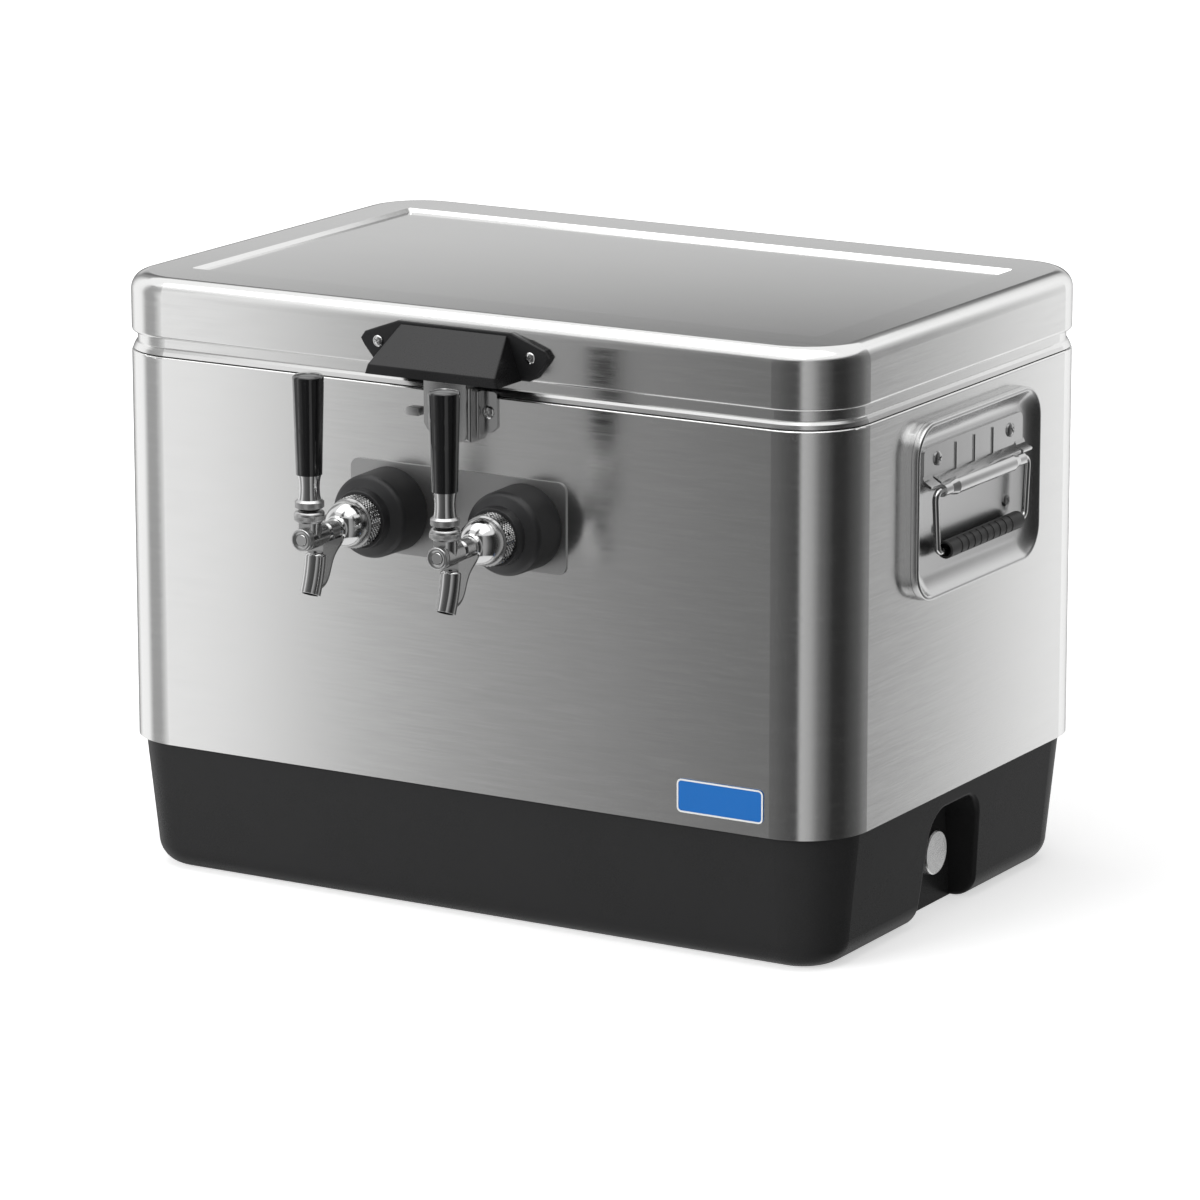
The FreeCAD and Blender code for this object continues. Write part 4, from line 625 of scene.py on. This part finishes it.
def knurled_band(radius, length, around, rings, height):
    """Sleeve along +Z from the origin with diamond points all over its outside."""
    step = length / rings
    band = primitive("cylinder", vertices=around, radius=radius, depth=step,
                     end_fill_type="NOTHING", location=(0, 0, step / 2))
    for ring in range(1, rings):
        pick(band, "EDGE", lambda a, b: min(a.z, b.z) > (ring - LEVEL_SLACK) * step)
        extrude((0, 0, step))
        leave_edit()
    pick(band, "FACE", everywhere)
    bpy.ops.mesh.poke(offset=0.0)
    leave_edit()

    def lattice(a, b):
        level = [end.z / step for end in (a, b)]
        on_rings = all(abs(value - round(value)) < LEVEL_SLACK for value in level)
        return on_rings and RIM_MARGIN < sum(level) / 2 < rings - RIM_MARGIN

    pick(band, "EDGE", lattice)
    bpy.ops.mesh.dissolve_edges(use_verts=False)
    leave_edit()
    pick(band, "FACE", everywhere)
    bpy.ops.mesh.normals_make_consistent(inside=False)
    bpy.ops.mesh.poke(offset=height)
    leave_edit()
    modify(band, "SOLIDIFY", thickness=BAND_WALL, offset=-1.0)
    return band


def make_knurls():
    """Knurled bands of the coupling nuts, with spanner holes, and of the bonnets and collars."""
    low, high = NUT_BAND
    band = knurled_band(NUT_R, high - low, *NUT_KNURL)
    for index in range(NUT_HOLES):
        angle = math.tau * index / NUT_HOLES + math.radians(NUT_HOLE_TURN_DEG)
        place = (NUT_R * math.cos(angle), NUT_R * math.sin(angle), NUT_HOLE_OUT - low)
        cut(band, primitive("cylinder", vertices=NUT_HOLE_SIDES, radius=NUT_HOLE_R,
                            depth=NUT_HOLE_DEPTH, location=place, rotation=(0, math.pi / 2, angle)))
    places = [towards((0, -1, 0), (side * TAP_X, FRONT - low, TAP_Z)) for side in SIDES.values()]
    hand_over(copies(band, places), "coupling_nut_knurls", "cooler_body", "polished_steel", KNURL,
              angle=CRISP_DEG)

    low, high = BONNET_BAND
    band = knurled_band(BONNET_R, high - low, *BONNET_KNURL)
    places = [towards(UP, (side * TAP_X, LEVER_Y, low)) for side in SIDES.values()]
    hand_over(copies(band, places), "bonnet_knurls", "cooler_body", "polished_steel", SATIN,
              angle=CRISP_DEG)

    low, high = COLLAR_BAND
    for name, side in SIDES.items():
        band = knurled_band(COLLAR_R, high - low, *COLLAR_KNURL)
        places = [towards(UP, (side * TAP_X, LEVER_Y, low))]
        hand_over(copies(band, places), "collar_knurl_" + name, "tap_lever_" + name,
                  "polished_steel", SATIN, angle=CRISP_DEG)


# --- end grips -----------------------------------------------------------------------------------
def make_grips():
    """Rubber sleeves on the bails: hollow at both ends, with a row of short raised ribs."""
    for name, side in SIDES.items():
        grip = primitive("cylinder", vertices=ROUND_SIDES, radius=GRIP_R, depth=2 * GRIP_HALF)
        pick(grip, "FACE", lambda middle, normal: abs(normal.z) > FACING)
        ends = ((GRIP_CHAMFER, GRIP_CHAMFER_RISE), (GRIP_R - GRIP_BORE_R - GRIP_CHAMFER, 0.0),
                (GRIP_BORE_DRAFT, -GRIP_BORE_DEPTH))
        for inward, outward in ends:
            bpy.ops.mesh.inset(thickness=inward, depth=outward, use_individual=True)
        leave_edit()
        first = -(GRIP_RIBS - 1) / 2 * GRIP_RIB_PITCH
        middles = [first + index * GRIP_RIB_PITCH for index in range(GRIP_RIBS)]
        for middle in middles:
            for edge in (-GRIP_RIB_HALF, GRIP_RIB_HALF):
                pick(grip, "FACE", everywhere)
                bpy.ops.mesh.bisect(plane_co=(0, 0, middle + edge), plane_no=(0, 0, 1))
                leave_edit()
        outer = math.cos(math.radians(GRIP_RIB_ARC_DEG))
        pick(grip, "FACE", lambda middle, normal: normal.x > outer and middle.x > 0 and
             min(abs(middle.z - place) for place in middles) < GRIP_RIB_HALF)
        rise = {"value": GRIP_RIB_RISE}
        bpy.ops.mesh.extrude_region_shrink_fatten(TRANSFORM_OT_shrink_fatten=rise)
        leave_edit()
        place = (side * GRIP_MIDDLE[0], 0, GRIP_MIDDLE[2])
        face_out = Matrix.Rotation(math.radians(180 if side < 0 else 0), 4, "Z")
        lay = Matrix.Rotation(math.radians(90), 4, "X")
        tilt = Matrix.Rotation(math.radians(GRIP_TILT_DEG), 4, "Y")
        seat = Matrix.Translation(place) @ face_out @ tilt @ lay
        hand_over(copies(grip, [seat]), "grip_sleeve_" + name, "bail_" + name, "grip_rubber",
                  FINISHES["grip_rubber"], "bail_grip_" + name)


# --- end handle pans and latch lever -------------------------------------------------------------
def rounded_plate(size, corner, segments):
    """Flat face in the XY plane with rounded corners, left in edit mode with the face selected."""
    plate = primitive("plane", size=1.0)
    plate.data.transform(Matrix.Diagonal((*size, 1.0, 1.0)))
    pick(plate, "FACE", everywhere)
    bpy.ops.mesh.bevel(affect="VERTICES", offset=corner, segments=segments)
    bpy.ops.mesh.select_all(action="SELECT")
    return plate


def make_pans():
    """Pressed surrounds of the end handles, in soft steps from a rolled rim to a flat floor."""
    pan = rounded_plate(PAN_SIZE, PAN_CORNER, PAN_CORNER_STEPS)
    bpy.ops.mesh.inset(thickness=0.0, depth=0.0)
    for inward, outward in PAN_STEPS:
        if inward:
            bpy.ops.mesh.inset(thickness=inward, depth=outward)
        else:
            extrude((0, 0, outward))
    leave_edit()
    lay = Matrix.Rotation(math.radians(90), 4, "Z")
    places = [towards((end, 0, 0), (end * END, 0, PAN_Z)) @ lay for end in SIDES.values()]
    hand_over(copies(pan, places), "handle_pans_drawn", "cooler_body", "pressed_steel", PAN_STEEL,
              "handle_pans", angle=PAN_SMOOTH_DEG)


def make_latch_lever():
    """Latch lever as a rounded casting: a copy of its solid with the sharp edges rounded."""
    copy = NODES["latch_lever"].copy()
    copy.data = copy.data.copy()
    bpy.context.scene.collection.objects.link(copy)
    bpy.ops.object.select_all(action="DESELECT")
    copy.select_set(True)
    bpy.context.view_layer.objects.active = copy
    bpy.ops.mesh.customdata_custom_splitnormals_clear()
    pick(copy, "FACE", everywhere)
    bpy.ops.mesh.remove_doubles(threshold=MERGE_DISTANCE)
    bpy.ops.mesh.dissolve_limited(angle_limit=math.radians(LATCH_FLAT_DEG))
    leave_edit()
    modify(copy, "BEVEL", width=LATCH_ROUND, segments=LATCH_ROUND_STEPS, limit_method="ANGLE",
           angle_limit=math.radians(LATCH_SHARP_DEG))
    hand_over([copy], "latch_lever_rounded", "latch_lever", "pressed_steel", SATIN, "latch_lever",
              angle=LATCH_SMOOTH_DEG)


# --- badge and inlet threads ---------------------------------------------------------------------
def make_badge_line():
    """Thin white line round the edge of the badge."""
    line = rounded_plate(BADGE_SIZE, BADGE_CORNER, BADGE_CORNER_STEPS)
    bpy.ops.mesh.inset(thickness=BADGE_LINE, depth=0.0)
    bpy.ops.mesh.delete(type="FACE")
    leave_edit()
    modify(line, "SOLIDIFY", thickness=BADGE_LINE_RISE, offset=1.0)
    hand_over(copies(line, [towards((0, -1, 0), BADGE_MIDDLE)]), "badge_line", "cooler_body",
              "liner_plastic", FINISHES["liner_plastic"])


def make_inlet_threads():
    """Rolled thread on the two rear inlets."""
    thread = primitive("circle", vertices=ROUND_SIDES, radius=INLET_THREAD_R)
    pick(thread, "EDGE", everywhere)
    for _ in range(INLET_THREAD_TURNS):
        for share in (INLET_THREAD_SWELL, 1 / INLET_THREAD_SWELL):
            extrude((0, 0, INLET_THREAD_PITCH / 2))
            bpy.ops.transform.resize(value=(share, share, 1))
    bpy.ops.mesh.select_all(action="SELECT")
    bpy.ops.mesh.normals_make_consistent(inside=False)
    leave_edit()
    modify(thread, "SOLIDIFY", thickness=INLET_THREAD_WALL, offset=-1.0)
    places = [towards((0, 1, 0), (side * TAP_X, INLET_THREAD_START, TAP_Z))
              for side in SIDES.values()]
    hand_over(copies(thread, places), "inlet_threads", "cooler_body", "tube_steel",
              FINISHES["tube_steel"])


# --- tent, floor, lights and camera --------------------------------------------------------------
def tent_material():
    """Graded paper of the light tent: its grey follows the bearing from the cooler's middle."""
    s = Shader("tent_paper")
    x, y, z = s.split(s.place())
    bearing = x.math("ARCTAN2", y * -1.0) / math.tau + 0.5
    stops = [(angle / 360 + 0.5, tone) for angle, tone in TENT_TONES]
    tone = s.node("ShaderNodeValToRGB", {"stops": stops}, {0: bearing})
    tall = TENT_HIGH - TENT_LOW
    level = (z - TENT_LOW) / tall
    rear_stops = [((height - TENT_LOW) / tall, shade) for height, shade in REAR_TONES]
    rear_tone = s.node("ShaderNodeValToRGB", {"stops": rear_stops}, {0: level})
    across = (x * REAR_WAY[0] + y * REAR_WAY[1]) / TENT_RADIUS
    tone = s.blend(across.smooth(*REAR_EDGE), tone, rear_tone)
    s.output(s.node("ShaderNodeEmission", None, {"Color": tone, "Strength": 1.0}))
    return s.material


def make_tent():
    """Paper wall round the cooler that only its reflections show."""
    bpy.ops.object.select_all(action="DESELECT")
    middle = (0, 0, (TENT_HIGH + TENT_LOW) / 2)
    bpy.ops.mesh.primitive_cylinder_add(vertices=TENT_SIDES, radius=TENT_RADIUS, location=middle,
                                        depth=TENT_HIGH - TENT_LOW, end_fill_type="NOTHING")
    tent = bpy.context.object
    tent.name = "light_tent"
    bpy.ops.object.transform_apply(location=True)
    tent.data.materials.append(tent_material())
    for kind in ("camera", "diffuse", "shadow", "transmission", "volume_scatter"):
        setattr(tent, "visible_" + kind, False)


def floor_material():
    """Pale floor that shows white, and keeps the soft shadow of the cooler."""
    s = Shader("floor_paper")
    seen = s.node("ShaderNodeLightPath", output="Is Camera Ray")
    x, y, _ = s.split(s.place())
    far = ((x * x + y * y) ** 0.5).smooth(FLOOR_GLOW_FROM, FLOOR_GLOW_TO)
    paper = s.node("ShaderNodeBsdfDiffuse", None, {"Color": grey(FLOOR_TONE)})
    strength = seen * (FLOOR_GLOW + far * FLOOR_GLOW_MORE)
    glow = s.node("ShaderNodeEmission", None, {"Color": grey(1.0), "Strength": strength})
    s.output(s.node("ShaderNodeAddShader", None, {0: paper, 1: glow}))
    return s.material


def make_floor():
    bpy.ops.object.select_all(action="DESELECT")
    bpy.ops.mesh.primitive_plane_add(size=FLOOR_SIZE, location=(0, 0, 0))
    floor = bpy.context.object
    floor.name = "floor"
    floor.data.materials.append(floor_material())
    floor.visible_glossy = False


def make_world():
    """White all round for the camera and reflections, and a soft even light on matt surfaces."""
    world = bpy.data.worlds.new("studio")
    bpy.context.scene.world = world
    world.use_nodes = True
    s = Shader("studio", world.node_tree)
    camera, mirror, through = [s.node("ShaderNodeLightPath", output="Is " + kind + " Ray")
                               for kind in ("Camera", "Glossy", "Transmission")]
    seen = camera.math("MAXIMUM", mirror).math("MAXIMUM", through)
    strength = WORLD_LIGHT + seen * (1.0 - WORLD_LIGHT)
    glow = s.node("ShaderNodeBackground", None, {"Color": grey(1.0), "Strength": strength})
    end = s.tree.nodes.new("ShaderNodeOutputWorld")
    s.tree.links.new(glow.socket, end.inputs[0])


def soft_box(name, mirrored, place, aim, width, height, radiance):
    """Rectangular lamp of a given brightness, aimed at a point, and shown in reflections or not."""
    lamp = bpy.data.lights.new(name, "AREA")
    lamp.shape = "RECTANGLE"
    lamp.size = width
    lamp.size_y = height
    lamp.energy = radiance * math.pi * width * height
    holder = bpy.data.objects.new(name, lamp)
    holder.location = place
    holder.rotation_euler = (Vector(aim) - Vector(place)).to_track_quat("-Z", "Y").to_euler()
    holder.visible_glossy = mirrored
    bpy.context.scene.collection.objects.link(holder)


def make_lights():
    soft_box("overhead", True, *OVERHEAD)
    soft_box("front", False, *FRONT_FILL)


def make_camera():
    lens = bpy.data.cameras.new("view")
    lens.lens = LENS_MM
    lens.sensor_width = SENSOR_MM
    lens.clip_end = VIEW_DEPTH
    camera = bpy.data.objects.new("view", lens)
    camera.location = EYE
    turn = (AIM - EYE).to_track_quat("-Z", "Y").to_matrix()
    roll = Matrix.Rotation(math.radians(ROLL_DEG), 3, UP)
    camera.rotation_euler = (turn @ roll).to_euler()
    bpy.context.scene.collection.objects.link(camera)
    bpy.context.scene.camera = camera


def main():
    dress_nodes()
    make_screws()
    make_knurls()
    make_grips()
    make_pans()
    make_latch_lever()
    make_badge_line()
    make_inlet_threads()
    make_floor()
    make_tent()
    make_world()
    make_lights()
    make_camera()
    bpy.context.scene.view_settings.view_transform = "Standard"


main()
